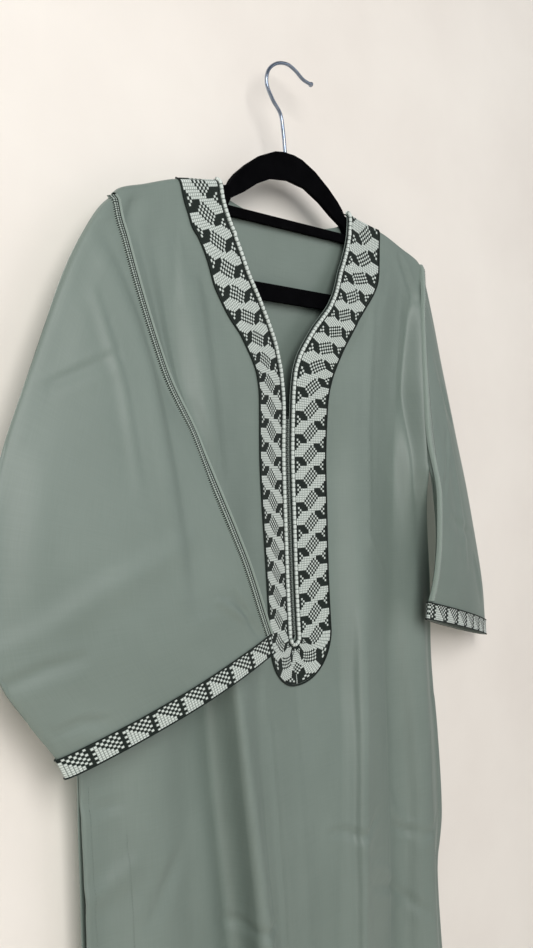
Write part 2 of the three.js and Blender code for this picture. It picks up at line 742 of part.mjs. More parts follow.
// Stations down one side of the neck, round the slit's end and up the other side. Each gives the neck edge
// and the band's outer edge as places on the front panel.
const END_STATIONS = 9;
function neckStations() {
  const sideStations = (neckX, edge) => {
    const edgeX = column(edge, "z", "x");
    return LEVELS.filter((level) => level >= SLIT_END_Z).map((level) => {
      const outerLevel = level - bandSlant(level);
      return { inner: [neckX(level), level], outer: [edgeX(outerLevel), outerLevel] };
    });
  };
  const left = sideStations(neckLeftX, BAND_EDGE_LEFT);
  const right = sideStations(neckRightX, BAND_EDGE_RIGHT).reverse();
  const round = [];
  const leftReach = SLIT_X - BAND_EDGE_LEFT.at(-1).x;
  const rightReach = BAND_EDGE_RIGHT.at(-1).x - SLIT_X;
  for (let i = 1; i < END_STATIONS; i += 1) {
    const turn = (Math.PI * i) / END_STATIONS;
    const reach = mix(leftReach, rightReach, i / END_STATIONS);
    const at = (radius) => [SLIT_X - radius * Math.cos(turn), SLIT_END_Z - radius * Math.sin(turn)];
    round.push({ inner: at(SLIT_HALF), outer: at(reach * mix(1, 0.9, Math.sin(turn))) });
  }
  return [...left, ...round, ...right];
}

// A place across the band: a distance out from the neck edge towards the band's outer edge
function acrossBand(station, distance) {
  const [x0, z0] = station.inner;
  const [x1, z1] = station.outer;
  const t = distance / Math.hypot(x1 - x0, z1 - z0);
  return [mix(x0, x1, t), mix(z0, z1, t)];
}

function neckBand() {
  const stations = neckStations();
  const steps = [0, 1 / 3, 2 / 3, 1];
  const points = stations.flatMap((station) => {
    const whole = Math.hypot(station.outer[0] - station.inner[0], station.outer[1] - station.inner[1]);
    return steps.map((t) => onFront(...acrossBand(station, mix(BAND_START, whole, t)), TRIM_LIFT));
  });
  return wall(points, gridQuads(stations.length, steps.length).map((q) => [...q].reverse()), TRIM);
}

// A cord along the neck stations, out from the neck edge or past the band's outer edge
function neckCord({ out, radius }, sides, pastBand = false) {
  const stations = neckStations();
  const centres = stations.map((station) => {
    const whole = Math.hypot(station.outer[0] - station.inner[0], station.outer[1] - station.inner[1]);
    return onFront(...acrossBand(station, pastBand ? whole + out : out), CORD_LIFT + radius);
  });
  return cord(centres, radius, sides);
}

// A tube with flat ends through a list of points
function cord(centres, radius, sides) {
  const rings = centres.map((centre, i) => {
    const before = centres[Math.max(0, i - 1)];
    const after = centres[Math.min(centres.length - 1, i + 1)];
    const along = after.clone().sub(before).normalize();
    const side = new THREE.Vector3().crossVectors(along, new THREE.Vector3(0, 1, 0)).normalize();
    const up = new THREE.Vector3().crossVectors(side, along);
    return Array.from({ length: sides }, (_, k) => {
      const turn = (2 * Math.PI * k) / sides;
      return centre
        .clone()
        .addScaledVector(side, radius * Math.cos(turn))
        .addScaledVector(up, radius * Math.sin(turn));
    });
  });
  const index = [];
  gridQuads(rings.length, sides, true).forEach(([a, b, c, d]) => index.push(a, b, c, a, c, d));
  const last = (rings.length - 1) * sides;
  for (let k = 1; k < sides - 1; k += 1) {
    index.push(0, k, k + 1);
    index.push(last, last + k + 1, last + k);
  }
  const geometry = new THREE.BufferGeometry();
  const flat = rings.flat().flatMap((p) => [p.x, p.y, p.z]);
  geometry.setAttribute("position", new THREE.Float32BufferAttribute(flat, 3));
  geometry.setIndex(index);
  return geometry;
}

// The row of knots down the slit, as one slim strip between the slit's edges
function slitFastening() {
  const width = 2 * (SLIT_HALF - FASTENING.margin);
  const levels = LEVELS.filter((level) => level <= FASTENING.top && level >= SLIT_END_Z);
  const points = levels.flatMap((level) =>
    [-0.5, 0.5].map((t) => {
      const edge = frontPoint(SLIT_X - SLIT_HALF, level);
      return new THREE.Vector3(SLIT_X + t * width, edge.y, level);
    }),
  );
  return wall(points, gridQuads(levels.length, 2), FASTENING.thick);
}

// A flat trim that lies over a seam: a strip of points moved out from the seam's line
function seamTrim(line, outward, width) {
  const points = line.flatMap((p, i) => {
    const along = line[Math.min(line.length - 1, i + 1)].clone().sub(line[Math.max(0, i - 1)]).normalize();
    const out = outward[i].clone().addScaledVector(along, -outward[i].dot(along)).normalize();
    const side = new THREE.Vector3().crossVectors(along, out);
    const centre = p.clone().addScaledVector(out, SEAM_TRIM_LIFT);
    return [-0.5, 0.5].map((t) => centre.clone().addScaledVector(side, t * width));
  });
  return wall(points, gridQuads(line.length, 2), TRIM);
}

// The trim down the front of the armhole and along the under-sleeve seam to the cuff band
function sleeveTrim(sleeve) {
  const curves = sleeveCurves(sleeve);
  const line = [];
  const outward = [];
  for (let i = 0; i <= TRIM_STATIONS; i += 1) {
    const across = mix(ARMHOLE_TRIM.from, ARMHOLE_TRIM.to, i / TRIM_STATIONS);
    const inset = new THREE.Vector3(-sleeve.side * ARMHOLE_TRIM.inset, 0, 0);
    line.push(armholePoint(sleeve, across, -1).add(inset));
    outward.push(new THREE.Vector3(-sleeve.side * ARMHOLE_TRIM.lean, -1, 0));
  }
  for (let i = 1; i <= TRIM_STATIONS; i += 1) {
    line.push(curves.under(mix(UNDER_TRIM.from, UNDER_TRIM.to, i / TRIM_STATIONS)));
    outward.push(new THREE.Vector3(-sleeve.side * UNDER_TRIM.lean, -1, 0));
  }
  return seamTrim(line, outward, SEAM_TRIM_WIDTH);
}

function hangerBody() {
  const topEdge = [
    ...ARCH_TOP,
    ...ARM_PLACES.map((out) => ({ out, z: shoulderZ(out) - ARM_BELOW })),
    ...ARM_END,
  ];
  const outline = new THREE.Shape(bothSides(topEdge).reverse());
  outline.holes.push(new THREE.Path(bothSides([...ARCH_BOTTOM, { out: 88, z: TIE_BAR.top }])));
  outline.holes.push(new THREE.Path(bothSides(ARM_INNER)));
  const geometry = new THREE.ExtrudeGeometry(outline, { depth: HANGER_THICK, bevelEnabled: false });
  geometry.translate(HANGER_X, 0, -HANGER_THICK / 2);
  geometry.rotateX(Math.PI / 2);
  return geometry;
}

// A closed outline from its right half: down the right side, then back up the left
function bothSides(half) {
  const right = half.map(({ out, z }) => new THREE.Vector2(out, z));
  const left = half.filter(({ out }) => out > 0).map(({ out, z }) => new THREE.Vector2(-out, z));
  return [...right, ...left.reverse()];
}

// The wire hook: open to the right, its inside top at the origin, its stem down into the hanger's neck
function hangerHook() {
  const curve = new THREE.CatmullRomCurve3(
    HOOK_WAY.map(({ x, z }) => new THREE.Vector3(x, 0, z)),
    false,
    "centripetal",
  );
  return cord(curve.getSpacedPoints(HOOK_STATIONS), HOOK_WIRE / 2, 8);
}

const finish = (color, roughness, metalness = 0) =>
  new THREE.MeshStandardMaterial({ color, roughness, metalness });
const cloth = () => finish(SAGE, 0.7);

function addPiece(group, name, geometry, material) {
  const mesh = new THREE.Mesh(geometry, material);
  mesh.name = name;
  group.add(mesh);
}

const thobe = new THREE.Group();
addPiece(thobe, "front_panel", frontPanel(), cloth());
addPiece(thobe, "back_panel", backPanel(), cloth());
addPiece(thobe, "neck_band", neckBand(), finish(BAND_GREY, 0.8));
addPiece(thobe, "neck_edge_piping", neckCord(NECK_PIPING, 4), finish(DARK_GREEN, 0.7));
addPiece(thobe, "neck_beaded_cord", neckCord(BEADED_CORD, 6), finish(PALE_SILVER, 0.6));
addPiece(thobe, "band_outer_piping", neckCord(OUTER_PIPING, 4, true), finish(DARK_GREEN, 0.7));
addPiece(thobe, "slit_fastening", slitFastening(), finish(DARK_GREEN, 0.8));
for (const [side, sleeve] of Object.entries({ left: LEFT_SLEEVE, right: RIGHT_SLEEVE })) {
  addPiece(thobe, "sleeve_" + side, sleeveTube(sleeve), cloth());
  addPiece(thobe, "cuff_band_" + side, cuffBand(sleeve), finish(BAND_GREY, 0.8));
  addPiece(thobe, "sleeve_trim_" + side, sleeveTrim(sleeve), finish(SAGE, 0.6));
}

const hanger = new THREE.Group();
addPiece(hanger, "hanger_body", hangerBody(), finish(BLACK_FLOCK, 0.95));
addPiece(hanger, "hanger_hook", hangerHook(), finish(CHROME, 0.25, 1));

const part = new THREE.Group();
part.add(thobe, hanger);

export default part;
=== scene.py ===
import math

import bpy
import numpy as np
from mathutils import Matrix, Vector
from mathutils.bvhtree import BVHTree


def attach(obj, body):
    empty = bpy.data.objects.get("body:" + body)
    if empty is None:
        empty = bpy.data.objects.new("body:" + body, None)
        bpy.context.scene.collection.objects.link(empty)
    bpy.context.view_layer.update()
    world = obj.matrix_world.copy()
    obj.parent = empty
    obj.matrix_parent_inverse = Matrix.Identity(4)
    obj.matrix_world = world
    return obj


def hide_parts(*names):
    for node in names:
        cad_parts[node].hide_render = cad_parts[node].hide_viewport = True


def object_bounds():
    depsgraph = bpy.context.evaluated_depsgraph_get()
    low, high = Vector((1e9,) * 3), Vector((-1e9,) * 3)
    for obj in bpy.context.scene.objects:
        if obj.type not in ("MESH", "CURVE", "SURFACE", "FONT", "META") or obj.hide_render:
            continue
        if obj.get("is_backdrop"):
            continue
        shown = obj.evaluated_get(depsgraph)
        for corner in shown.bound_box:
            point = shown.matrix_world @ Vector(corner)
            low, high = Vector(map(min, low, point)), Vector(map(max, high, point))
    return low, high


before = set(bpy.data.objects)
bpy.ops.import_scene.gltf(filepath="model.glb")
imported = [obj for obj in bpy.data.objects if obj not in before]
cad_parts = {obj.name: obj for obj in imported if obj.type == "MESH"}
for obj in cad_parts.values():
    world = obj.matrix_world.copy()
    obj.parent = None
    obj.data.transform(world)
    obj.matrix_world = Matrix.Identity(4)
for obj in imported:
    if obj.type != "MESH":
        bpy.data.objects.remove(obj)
cad_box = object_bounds()

# A sage green thobe on a slim flocked hanger. Tables are in millimetres in the row's frame:
# X along the wall to the viewer's right, Y into the wall, Z up, origin under the hook's bend.
MM = 0.001

CLOTH = 0.7  # thickness of the shown cloth
HEM_Z = -1537
UNDERARM_Z = -398
SLIT_TOP_Z = -330
SLIT_END_Z = -560
SLIT_X = -18.5
SLIT_HALF = 3.8
POCKET = {"top": -655, "bottom": -835, "part": 2}
SHOULDER_TOP_Z = -133
ROLL_DROP = 8
ROLL_BLEND = 70
FADE_END_Z = -330
SEAM_HALF = 1.2
HANGER_X = -4
NECK_OUT = 96
BACK_NECK_DIP = 17
HOOK_WIRE = 3.6
HOOK_LENGTH = 190
HOOK_TIP = {"radius": 2.7, "middle": 2.4, "length": 5}

# Distances over which creases fade out: beside the band, under the slit, under the shoulder
CALM_BESIDE_BAND = 12
CALM_UNDER_SLIT = {"from": SLIT_END_Z - 56, "over": 20}
CALM_UNDER_SHOULDER = {"from": SHOULDER_TOP_Z - 3, "over": 14}
BACK_CALM = {"from": -160, "over": 60}
COUNTER_FOLD = 0.3  # how deep the soft fold beside a crease is, as a share of the crease

# Trims: distances out from the neck edge, and lifts from the middle of the cloth under them
BAND_START = 7.2
BAND_LIFT = 1.3
NECK_PIPING = {"out": 0.7, "radius": 0.7}
BEADED_CORD = {"out": 3.5, "radius": 1.8, "pitch": 4.5}
BAND_PIPING = {"out": 6.5, "radius": 0.7}
OUTER_PIPING = {"out": 0.9, "radius": 0.9}
BAND_REPEAT = 22.3
BAND_PHASE_Z = -427.8  # a check diamond of the woven band is centred at this height
CUFF_BAND_FROM = 0.93
CUFF_REPEAT = 28.0
STITCH_HEIGHT = 0.32
# Where one stitch's mesh lines lie, as shares of its cell: groove, stitch, groove
STITCH_ROWS = (0, 0.12, 0.5, 0.88)
STITCH_COLUMNS = (0, 0.14, 0.86)
STITCH_WIDTH = 2.34
# The GROOVE faces take a darker tone: painted shade in the grooves between pale stitches.
PALE, DARK, GROOVE = 0, 1, 2  # materials of the woven bands
CUFF_BAND_TO = 0.998
CUFF_CORD = {"radius": 0.75, "lift": 1.5}
SLIT_GROUND = {"top": -346, "places": (-3.3, -1.1, 1.1, 3.3), "thickness": 0.8}
KNOTS = {"top": -350, "pitch": 2.2, "out": 1.75, "shift": 0.25, "radius": 1.05, "height": 0.8}
SEWN_STITCH = {"pitch": 3.0, "length": 0.66, "width": 0.55, "lift": CLOTH / 2 + 0.15}

# Shoulder line: distance out from the hanger's middle, height
SHOULDER = [(88, -131), (96, -133), (110, -136), (149, -142), (190, -154.5), (214, -162), (223, -168.5)]
# Shoulder roll: drop from the top, depth
ROLL = [(0, 0.5), (0.8, 2.7), (3, 4.3), (8, 4.9)]

# Seams: height, place along the wall, depth
FRONT_LEFT_SEAM = [
    (-168, -225, -1), (-178, -224.5, -5), (-230, -216, -13), (-312, -194, -22), (-398, -161, -31.5),
    (-420, -165, -27), (-450, -186, -19), (-530, -245, -6), (-630, -275, 4), (-770, -273, 5),
    (-1000, -280, 6), (HEM_Z, -298, 6),
]
FRONT_RIGHT_SEAM = [
    (-168, 218, -1), (-178, 217, -5), (-230, 204, -12), (-312, 191, -21), (-398, 184, -28),
    (-420, 187, -23), (-450, 199, -13), (-530, 220, 0), (-630, 227, 6), (-790, 235, 6),
    (-860, 226, 6), (-1000, 232, 6), (HEM_Z, 250, 6),
]
BACK_LEFT_ARMHOLE = [
    (-168, -225, 1), (-178, -225.5, 5), (-230, -226, 9), (-312, -214, 13), (-370, -184, -4),
]
BACK_RIGHT_ARMHOLE = [
    (-168, 218, 1), (-178, 219, 5), (-230, 221, 9), (-312, 214, 13), (-370, 197, -2),
]

# Neck edge and the woven band's outer edge on each side: height, place
NECK_LEFT = [
    (-133, -102), (-148, -100), (-166, -95), (-190, -85.5), (-213, -75.5), (-240, -59), (-261, -46),
    (-279, -36), (-290, -32), (-302, -28), (-313, -26), (SLIT_TOP_Z, SLIT_X - SLIT_HALF - 1),
    (-350, SLIT_X - SLIT_HALF), (SLIT_END_Z, SLIT_X - SLIT_HALF),
]
NECK_RIGHT = [
    (-133, 83), (-151, 81), (-167, 77), (-183, 70), (-199, 60), (-216, 50.5), (-234, 38), (-246, 26),
    (-257, 15), (-270, 4.5), (-282, -4), (-291, -8.5), (-304, -12.5), (SLIT_TOP_Z, SLIT_X + SLIT_HALF),
    (SLIT_END_Z, SLIT_X + SLIT_HALF),
]
BAND_EDGE_LEFT = [
    (-133, -154), (-155, -149), (-165, -146), (-177, -143), (-187, -137), (-201, -131), (-216, -126),
    (-230, -122), (-246, -113.5), (-258, -106), (-277, -90), (-288, -83), (-298, -77), (-310, -72),
    (-330, -69), (-400, -68), (SLIT_END_Z, -65),
]
BAND_EDGE_RIGHT = [
    (-133, 137), (-160, 133.5), (-176, 130), (-193, 124.5), (-210, 114), (-227, 100), (-242, 87.5),
    (-262, 72), (-274, 63), (-292, 52), (-308, 44), (-323, 39.5), (-337, 38), (-400, 37),
    (SLIT_END_Z, 35),
]
# How much lower the band's outer edge lies than its inner edge: height, drop
BAND_SLANT = [
    (-133, 0), (-160, 8), (-190, 18), (-215, 24), (-240, 27), (-262, 26), (-280, 20), (-300, 10),
    (-325, 3), (-350, 0),
]
# How much longer a repeat of the woven band is than on its straight part: height, factor
BAND_STRETCH = [(-133, 1.24), (-180, 1.24), (-205, 1.16), (-235, 1.04), (-260, 1.0)]
LINE_MARGIN = 5
LEFT_BAND_LOWER = [(-600, -76), (-720, -82), (-850, -76), (-1100, -66), (HEM_Z, -56)]
RIGHT_BAND_LOWER = [(-600, 42), (-720, 30), (-850, 18), (-1100, 8), (HEM_Z, 0)]

# Folds of the front panel at these heights: places and depths
FOLD_Z = [-133, -170, -230, -310, -400, -490, -600, -720, -850, -1100, HEM_Z]
FRONT_FOLD_X = {
    "left_trough": [-192, -190, -182, -170, -153, -147, -137, -125, -113, -106, -102],
    "left_ridge": [-166, -162, -152, -146, -140, -131, -122, -110, -97, -88, -80],
    "right_ridge": [152, 150, 126, 92, 83, 78, 71, 60, 47, 35, 25],
    "right_trough": [178, 175, 168, 160, 156, 150, 143, 144, 144, 142, 140],
    "right_soft": [200, 197, 189, 177, 173, 185, 187, 188, 188, 190, 196],
}
FRONT_FOLD_Y = {
    "left_soft": [-5, -6, -11, -16, -30, -17, -14, -13, -14, -16, -18],
    "left_trough": [-5, -5, -8, -10, -23, -8, 0, 1, 1, -2, -6],
    "left_ridge": [-5, -6, -12, -17, -22, -24, -26, -27, -28, -27, -26],
    "left_band": [-5, -9, -11, -14, -11, -13, -15, -20, -22, -22, -22],
    "left_centre": [-5, -9, -10, -4, 1, 1, -2, -10, -14, -14, -14],
    "right_centre": [-5, -4, -10, -4, 1, 1, -2, -10, -14, -14, -14],
    "right_band": [-5, -10, -12, -7, -1, -1, -5, -14, -16, -16, -16],
    "right_ridge": [-5, -8, -12, -13, -14, -16, -22, -26, -28, -27, -26],
    "right_trough": [-5, -5, -5, -3, 0, 1, 2, 2, 2, 0, -3],
    "right_soft": [-5, -4, 0, 1, -14, -8, -11, -13, -14, -15, -16],
}
LEFT_CELLS = [16, 14, 8, 12, 17]
RIGHT_CELLS = [17, 17, 17, 12, 12]

# Folds of the back panel at these heights: places and depths
BACK_Z = [-133, -170, -230, -310, -370, -398, -450, -530, -630, -850, HEM_Z]
BACK_FOLD_X = [
    [-208, -206, -205, -196, -170, -152, -172, -224, -256, -258, -276],
    [-130, -130, -132, -135, -128, -122, -130, -140, -146, -150, -160],
    [-100, -100, -92, -80, -74, -72, -70, -70, -70, -72, -78],
    [92, 92, 84, 72, 66, 62, 58, 55, 52, 46, 44],
    [135, 135, 134, 132, 128, 126, 126, 128, 132, 136, 142],
    [202, 203, 204, 198, 186, 175, 188, 202, 210, 212, 228],
]
BACK_FOLD_Y = [
    [5, 7, 10, 14, 12, 9, 10, 11, 13, 14, 16],
    [5, 7, 12, 16, 18, 19, 20, 20, 20, 21, 22],
    [5, 5, 7, 10, 12, 13, 14, 14, 13, 11, 10],
    [5, 5, 8, 13, 16, 18, 19, 20, 21, 22, 22],
    [5, 7, 10, 12, 13, 14, 14, 13, 12, 11, 10],
    [5, 7, 10, 14, 12, 9, 10, 12, 14, 16, 18],
]
BACK_CELLS = [10, 12, 8, 26, 10, 12, 10]
BACK_NECK_DROP = 8  # the back neckline is cut this far below the shoulder roll's top
FRONT_STRAIGHT = (4, 6)  # cells of the front that stay straight under the woven band
SHOULDER_ROWS = [-133, -133.15, -133.4, -133.8, -134.6, -136, -138.2, -141]

# Sleeves: share of the length, then the outer fold and the under-sleeve seam as places, depths, heights
SLEEVE_SHARE = [0, 0.06, 0.16, 0.36, 0.53, 0.66, 0.78, 0.87, 0.93, 1]
LEFT_SLEEVE = {
    "side": -1,
    "outer_x": [-226, -243, -272, -317, -350, -367, -359, -334, -311, -302.5],
    "outer_y": [0, -3, -6, -9, -12, -14, -16, -17, -17.5, -18],
    "outer_z": [-169.5, -183, -223, -316, -396, -468, -541, -582, -612, -628],
    "under_x": [-162, -159, -155, -143, -130, -119, -109, -102, -98, -92],
    "under_y": [-38, -41, -44, -48, -49, -48, -46, -44, -43, -42],
    "under_z": [-396, -407, -420, -450, -478, -502, -523, -536, -544, -561],
    "front_belly": 14,
    "back_belly": 4,
}
RIGHT_SLEEVE = {
    "side": 1,
    "outer_x": [219, 229, 246, 272, 297, 319, 337, 350, 355, 357],
    "outer_y": [0, 2, 4, 5, 6, 7, 9, 10, 11.5, 12],
    "outer_z": [-167.5, -182, -222, -300, -372, -440, -498, -552, -588, -606],
    "under_x": [185, 184, 183, 180, 178, 175, 172, 169, 167.5, 166],
    "under_y": [-34, -37, -40, -42, -42, -41, -39, -37, -35, -33],
    "under_z": [-396, -407, -420, -450, -478, -502, -523, -536, -544, -562],
    "front_belly": 12,
    "back_belly": 13,
}
SLEEVE_STANDOFF = 0.4
BACK_FULLNESS = 0.55
FRONT_FULLNESS = (0.55, 0.95)  # at the outer fold and at the seam: a higher one gives a sharper swell

# Creases pressed into the cloth. Each way runs down or to the right. First come the widths on its right
# and its left as it is followed, then its height (below 0 is a trough).
FRONT_CREASES = [
    (5, 3, -2.4, [(-134, -791), (-112, -803), (-97, -810), (-68, -810)]),
    (5, 3, -2.4, [(8, -754), (29, -755), (49, -764), (64, -760), (82, -750)]),
    (5, 5, 1.6, [(81, -463), (107, -487), (133, -515)]),
    (5, 3, -2.2, [(126, -777), (162, -794), (191, -797)]),
    (5, 4, -2.4, [(58, -816), (103, -834), (135, -847), (165, -873), (190, -896)]),
    (4, 4, 1.7, [(58, -799), (96, -811), (130, -834)]),
    (5, 4, 1.8, [(124, -726), (147, -770), (166, -794)]),
    (5, 4, -1.8, [(166, -806), (192, -801), (216, -788)]),
    (5, 4, -1.7, [(-274, -656), (-258, -666), (-236, -664)]),
    (9, 7, 2.0, [(-278, -738), (-252, -731), (-224, -710)]),
    (9, 7, -2.4, [(-222, -774), (-201, -738), (-180, -716)]),
    (7, 5, 1.6, [(115, -209), (99, -347), (90, -493)]),
    (4, 3, 1.2, [(-73, -580), (-67, -692), (-63, -804), (-60, -1000)]),
    (20, 7, 3.2, [(-146, -227), (-143, -275), (-139, -327), (-136, -371), (-134, -410)]),
    (8, 5, -2.6, [(-159, -337), (-149, -371), (-140, -397), (-133, -424)]),
    (5, 3, -1.1, [(-162, -190), (-166, -217), (-168, -256)]),
    (4, 15, 4.0, [(-125, -560), (-115, -661), (-104, -765), (-99, -830), (-92, -1100)]),
    (14, 5, -5.0, [(-136, -560), (-127, -661), (-116, -765), (-110, -830), (-103, -1100)]),
    (3, 11, 3.4, [(67, -540), (58, -661), (48, -755), (42, -873), (36, -1080)]),
    (20, 7, -5.0, [(150, -540), (160, -673), (163, -764), (158, -840), (156, -904), (150, -1150)]),
    (16, 12, 2.6, [(118, -590), (112, -720), (104, -880), (100, -1120)]),
    (6, 9, -2.6, [(-200, -150), (-206, -170), (-213, -187), (-219, -206)]),
    (5, 4, -2.2, [(172, -160), (188, -186), (205, -215)]),
    (20, 14, 2.8, [(-204, -600), (-214, -713), (-220, -850), (-226, -1180)]),
    (12, 10, -2.4, [(-238, -600), (-250, -722), (-254, -900), (-258, -1180)]),
    (14, 14, -2.4, [(-172, -620), (-170, -900), (-176, -1300)]),
    (10, 10, 1.8, [(-20, -640), (-24, -900), (-18, -1250)]),
    (6, 4, -1.8, [(-150, -1080), (-90, -1120), (-50, -1110)]),
    (7, 4, 1.8, [(60, -1180), (130, -1230)]),
    (9, 7, -1.8, [(205, -950), (212, -1200), (225, -1480)]),
    (6, 4, -1.8, [(-250, -1290), (-200, -1318), (-150, -1322)]),
]
BACK_CREASES = [
    (7, 4, -2.8, [(-52, -160), (-32, -179), (-13, -196), (12, -206)]),
    (12, 8, 2.5, [(-60, -640), (-40, -900), (-48, -1300)]),
    (10, 7, -2.5, [(60, -420), (84, -760), (80, -1200)]),
    (6, 4, 1.8, [(-190, -700), (-120, -742), (-70, -738)]),
    (7, 4, -2.0, [(120, -880), (190, -930)]),
    (9, 7, 1.6, [(-200, -950), (-210, -1300)]),
    (6, 4, -1.8, [(-20, -1120), (50, -1160)]),
    (8, 6, 2.0, [(150, -230), (120, -330), (112, -460)]),
    (8, 6, 2.0, [(-150, -240), (-110, -350)]),
    (14, 8, 2.4, [(10, -300), (4, -480), (12, -640)]),
]
LEFT_SLEEVE_CREASES = [
    (8, 26, -4.0, [(-246, -195), (-229, -232), (-214, -272), (-203, -320), (-198, -400), (-189, -520)]),
    (12, 9, 1.7, [(-366, -532), (-324, -515), (-287, -494), (-184, -450)]),
    (6, 3, -1.6, [(-311, -332), (-284, -320), (-244, -302)]),
    (7, 4, -1.8, [(-366, -555), (-325, -541), (-290, -536)]),
    (12, 12, -2.0, [(-341, -375), (-362, -520)]),
    (4, 3, -1.8, [(-150, -500), (-110, -547)]),
    (4, 3, 1.6, [(-168, -505), (-128, -528)]),
    (5, 3, -1.8, [(-318, -592), (-296, -586), (-270, -588)]),
    (5, 3, 1.4, [(-262, -250), (-246, -330), (-240, -420)]),
]
RIGHT_SLEEVE_CREASES = [
    (9, 6, 2.0, [(215, -270), (242, -400), (262, -520)]),
    (6, 4, -1.6, [(212, -452), (258, -470), (302, -478)]),
    (7, 4, -1.8, [(236, -300), (262, -350)]),
    (6, 4, 1.6, [(300, -500), (330, -560)]),
    (5, 4, -1.4, [(196, -430), (214, -400), (228, -352)]),
]

# One repeat of the woven band, from the neck edge outwards: # is a pale stitch and . the dark ground
BAND_CHART = [
    ".#.########....#..",
    "..#######.#.....#.",
    ".#######.#.#......",
    "#######.#.#.#.....",
    "######.#.#.#.#####",
    "#####.#.#.#.######",
    ".....#.#.#.#######",
    "......#.#.#######.",
    ".#.....#.#######..",
    "..#....########.#.",
]
# One repeat of the cuff band, from its upper edge down
CUFF_CHART = [
    ".#.#.#.#..",
    "#.#.#.#..#",
    "##.#.#.#..",
    "###.#.#..#",
    "####.#.#..",
    "#####.#..#",
    "######.#..",
    "######...#",
]

# Section of the trim over a sleeve's seam, from the body side to the sleeve side: distance from the seam,
# height over the cloth, and the part that starts there
TRIM_SECTION = [
    (-2.2, -0.4, "ridge"), (-1.9, 1.8, "ridge"), (-1.2, 3.4, "ridge"), (-0.2, 4.3, "ridge"),
    (0.8, 4.2, "ridge"), (1.6, 3.4, "dark"), (1.9, 2.4, "dark"), (2.2, 2.8, "loop"), (2.8, 3.1, "loop"),
    (3.5, 2.8, "dark"), (3.8, 2.2, "dark"), (4.2, 2.5, "loop"), (4.9, 2.3, "loop"), (5.5, 1.7, "dark"),
    (5.8, 1.1, "dots"), (6.5, 1.0, "dots"), (7.1, -0.3, "end"),
]
TRIM_SHADES = {"ridge": 0, "dark": 1, "loop": 2, "dots": 0}
LOOP_PITCH = 1.9
LOOP_ROWS = 4  # mesh rows to one loop: the last is the dark gap
LOOP_DIP = 0.35
TRIM_ARMHOLE_TO = 0.86
TRIM_SEAM_SPAN = (0.06, 0.92)

# Stitched lines on the front and the back: places and heights
FRONT_STITCHING = {
    "front_hem_stitches": [(-291, -1520), (0, -1520), (243, -1520)],
    "left_pocket_stitches": [(-267, -646), (-265, -700), (-262, -780), (-262, -843)],
    "right_pocket_stitches": [(220, -646), (226, -700), (226, -780), (219, -843)],
    "left_pocket_bag_stitches": [(-236, -690), (-233, -740), (-232, -790), (-236, -830), (-252, -850)],
    "right_pocket_bag_stitches": [(196, -690), (194, -740), (194, -790), (198, -830), (212, -848)],
}
BACK_STITCHING = {
    "back_hem_stitches": [(-291, -1520), (0, -1520), (243, -1520)],
}

# The hook's wire: place, height
HOOK_WAY = [
    (-7, -87.7), (-9, -66), (-12.5, -50), (-23, -39), (-31, -25), (-28, -12), (-16, -2), (0, 1.8),
    (12, -1), (24, -7), (38, -9),
]

# Camera of the photograph: place in metres, and its right, up and backward directions
CAMERA_PLACE = (-0.7774, -0.6643, -0.4113)
CAMERA_RIGHT = (0.67344, -0.73860, -0.03077)
CAMERA_UP = (0.01349, -0.02934, 0.99948)
CAMERA_BACK = (-0.73912, -0.67351, -0.00979)
CAMERA_LENS = 39.53

# Stage and light, in metres: the lights' places, aims, sizes, powers in watts and colours
WALL_Y = 0.034
WALL_TOP_Z = 2.0
FLOOR_Z = -1.62
STAGE_HALF = 4.0
LIGHTS = {
    "key": ((-1.2, -2.2, 0.55), (-0.05, 0, -0.55), 1.7, 66, (1.0, 0.98, 0.96)),
    "fill": ((1.5, -2.0, 0.1), (0, 0, -0.6), 2.0, 9, (0.97, 0.98, 1.0)),
    "back": ((-1.0, 2.4, 0.4), (0, 0, -0.6), 2.0, 60, (1.0, 0.98, 0.96)),
}
ROOM_COLOUR = (0.93, 0.96, 1.0, 1)
ROOM_STRENGTH = 0.29


def curve(at, value):
    """A smooth curve through a table, with no overshoot between its rows."""
    at, value = np.array(at, float), np.array(value, float)
    if at[0] > at[-1]:
        at, value = at[::-1], value[::-1]
    slope = np.diff(value) / np.diff(at)
    product = slope[:-1] * slope[1:]
    total = slope[:-1] + slope[1:]
    inner = np.where(product > 0, 2 * product / np.where(total == 0, 1, total), 0)
    tangent = np.concatenate([slope[:1], inner, slope[-1:]])

    def read(a):
        a = np.clip(a, at[0], at[-1])
        i = np.clip(np.searchsorted(at, a) - 1, 0, len(at) - 2)
        width = at[i + 1] - at[i]
        t = (a - at[i]) / width
        rise = value[i + 1] - value[i]
        bend = (1 - t) * (tangent[i] * width - rise) + t * (rise - tangent[i + 1] * width)
        return value[i] + rise * t + t * (1 - t) * bend

    return read


def table_curve(table, column=1):
    return curve([row[0] for row in table], [row[column] for row in table])


def smooth(t):
    t = np.clip(t, 0, 1)
    return t * t * (3 - 2 * t)


def mix(a, b, t):
    return a + (b - a) * t


def unit(vectors):
    return vectors / np.maximum(np.linalg.norm(vectors, axis=-1, keepdims=True), 1e-9)


def run_along(line):
    """Distance of each point of a line from the line's start."""
    return np.concatenate([[0], np.cumsum(np.linalg.norm(np.diff(line, axis=0), axis=-1))])


def read_at(line, run, at):
    """Points of a line at the given distances along it."""
    return np.stack([np.interp(at, run, column) for column in line.T], -1)


def chart_marks(chart):
    """A woven chart as true for each pale stitch."""
    return np.array([[mark == "#" for mark in line] for line in chart])


shoulder_z = table_curve(SHOULDER)
roll_y = table_curve(ROLL)
band_slant = table_curve(BAND_SLANT)
band_stretch = table_curve(BAND_STRETCH)
neck_left_x = table_curve(NECK_LEFT)
neck_right_x = table_curve(NECK_RIGHT)


def seam(table):
    return table_curve(table, 1), table_curve(table, 2)


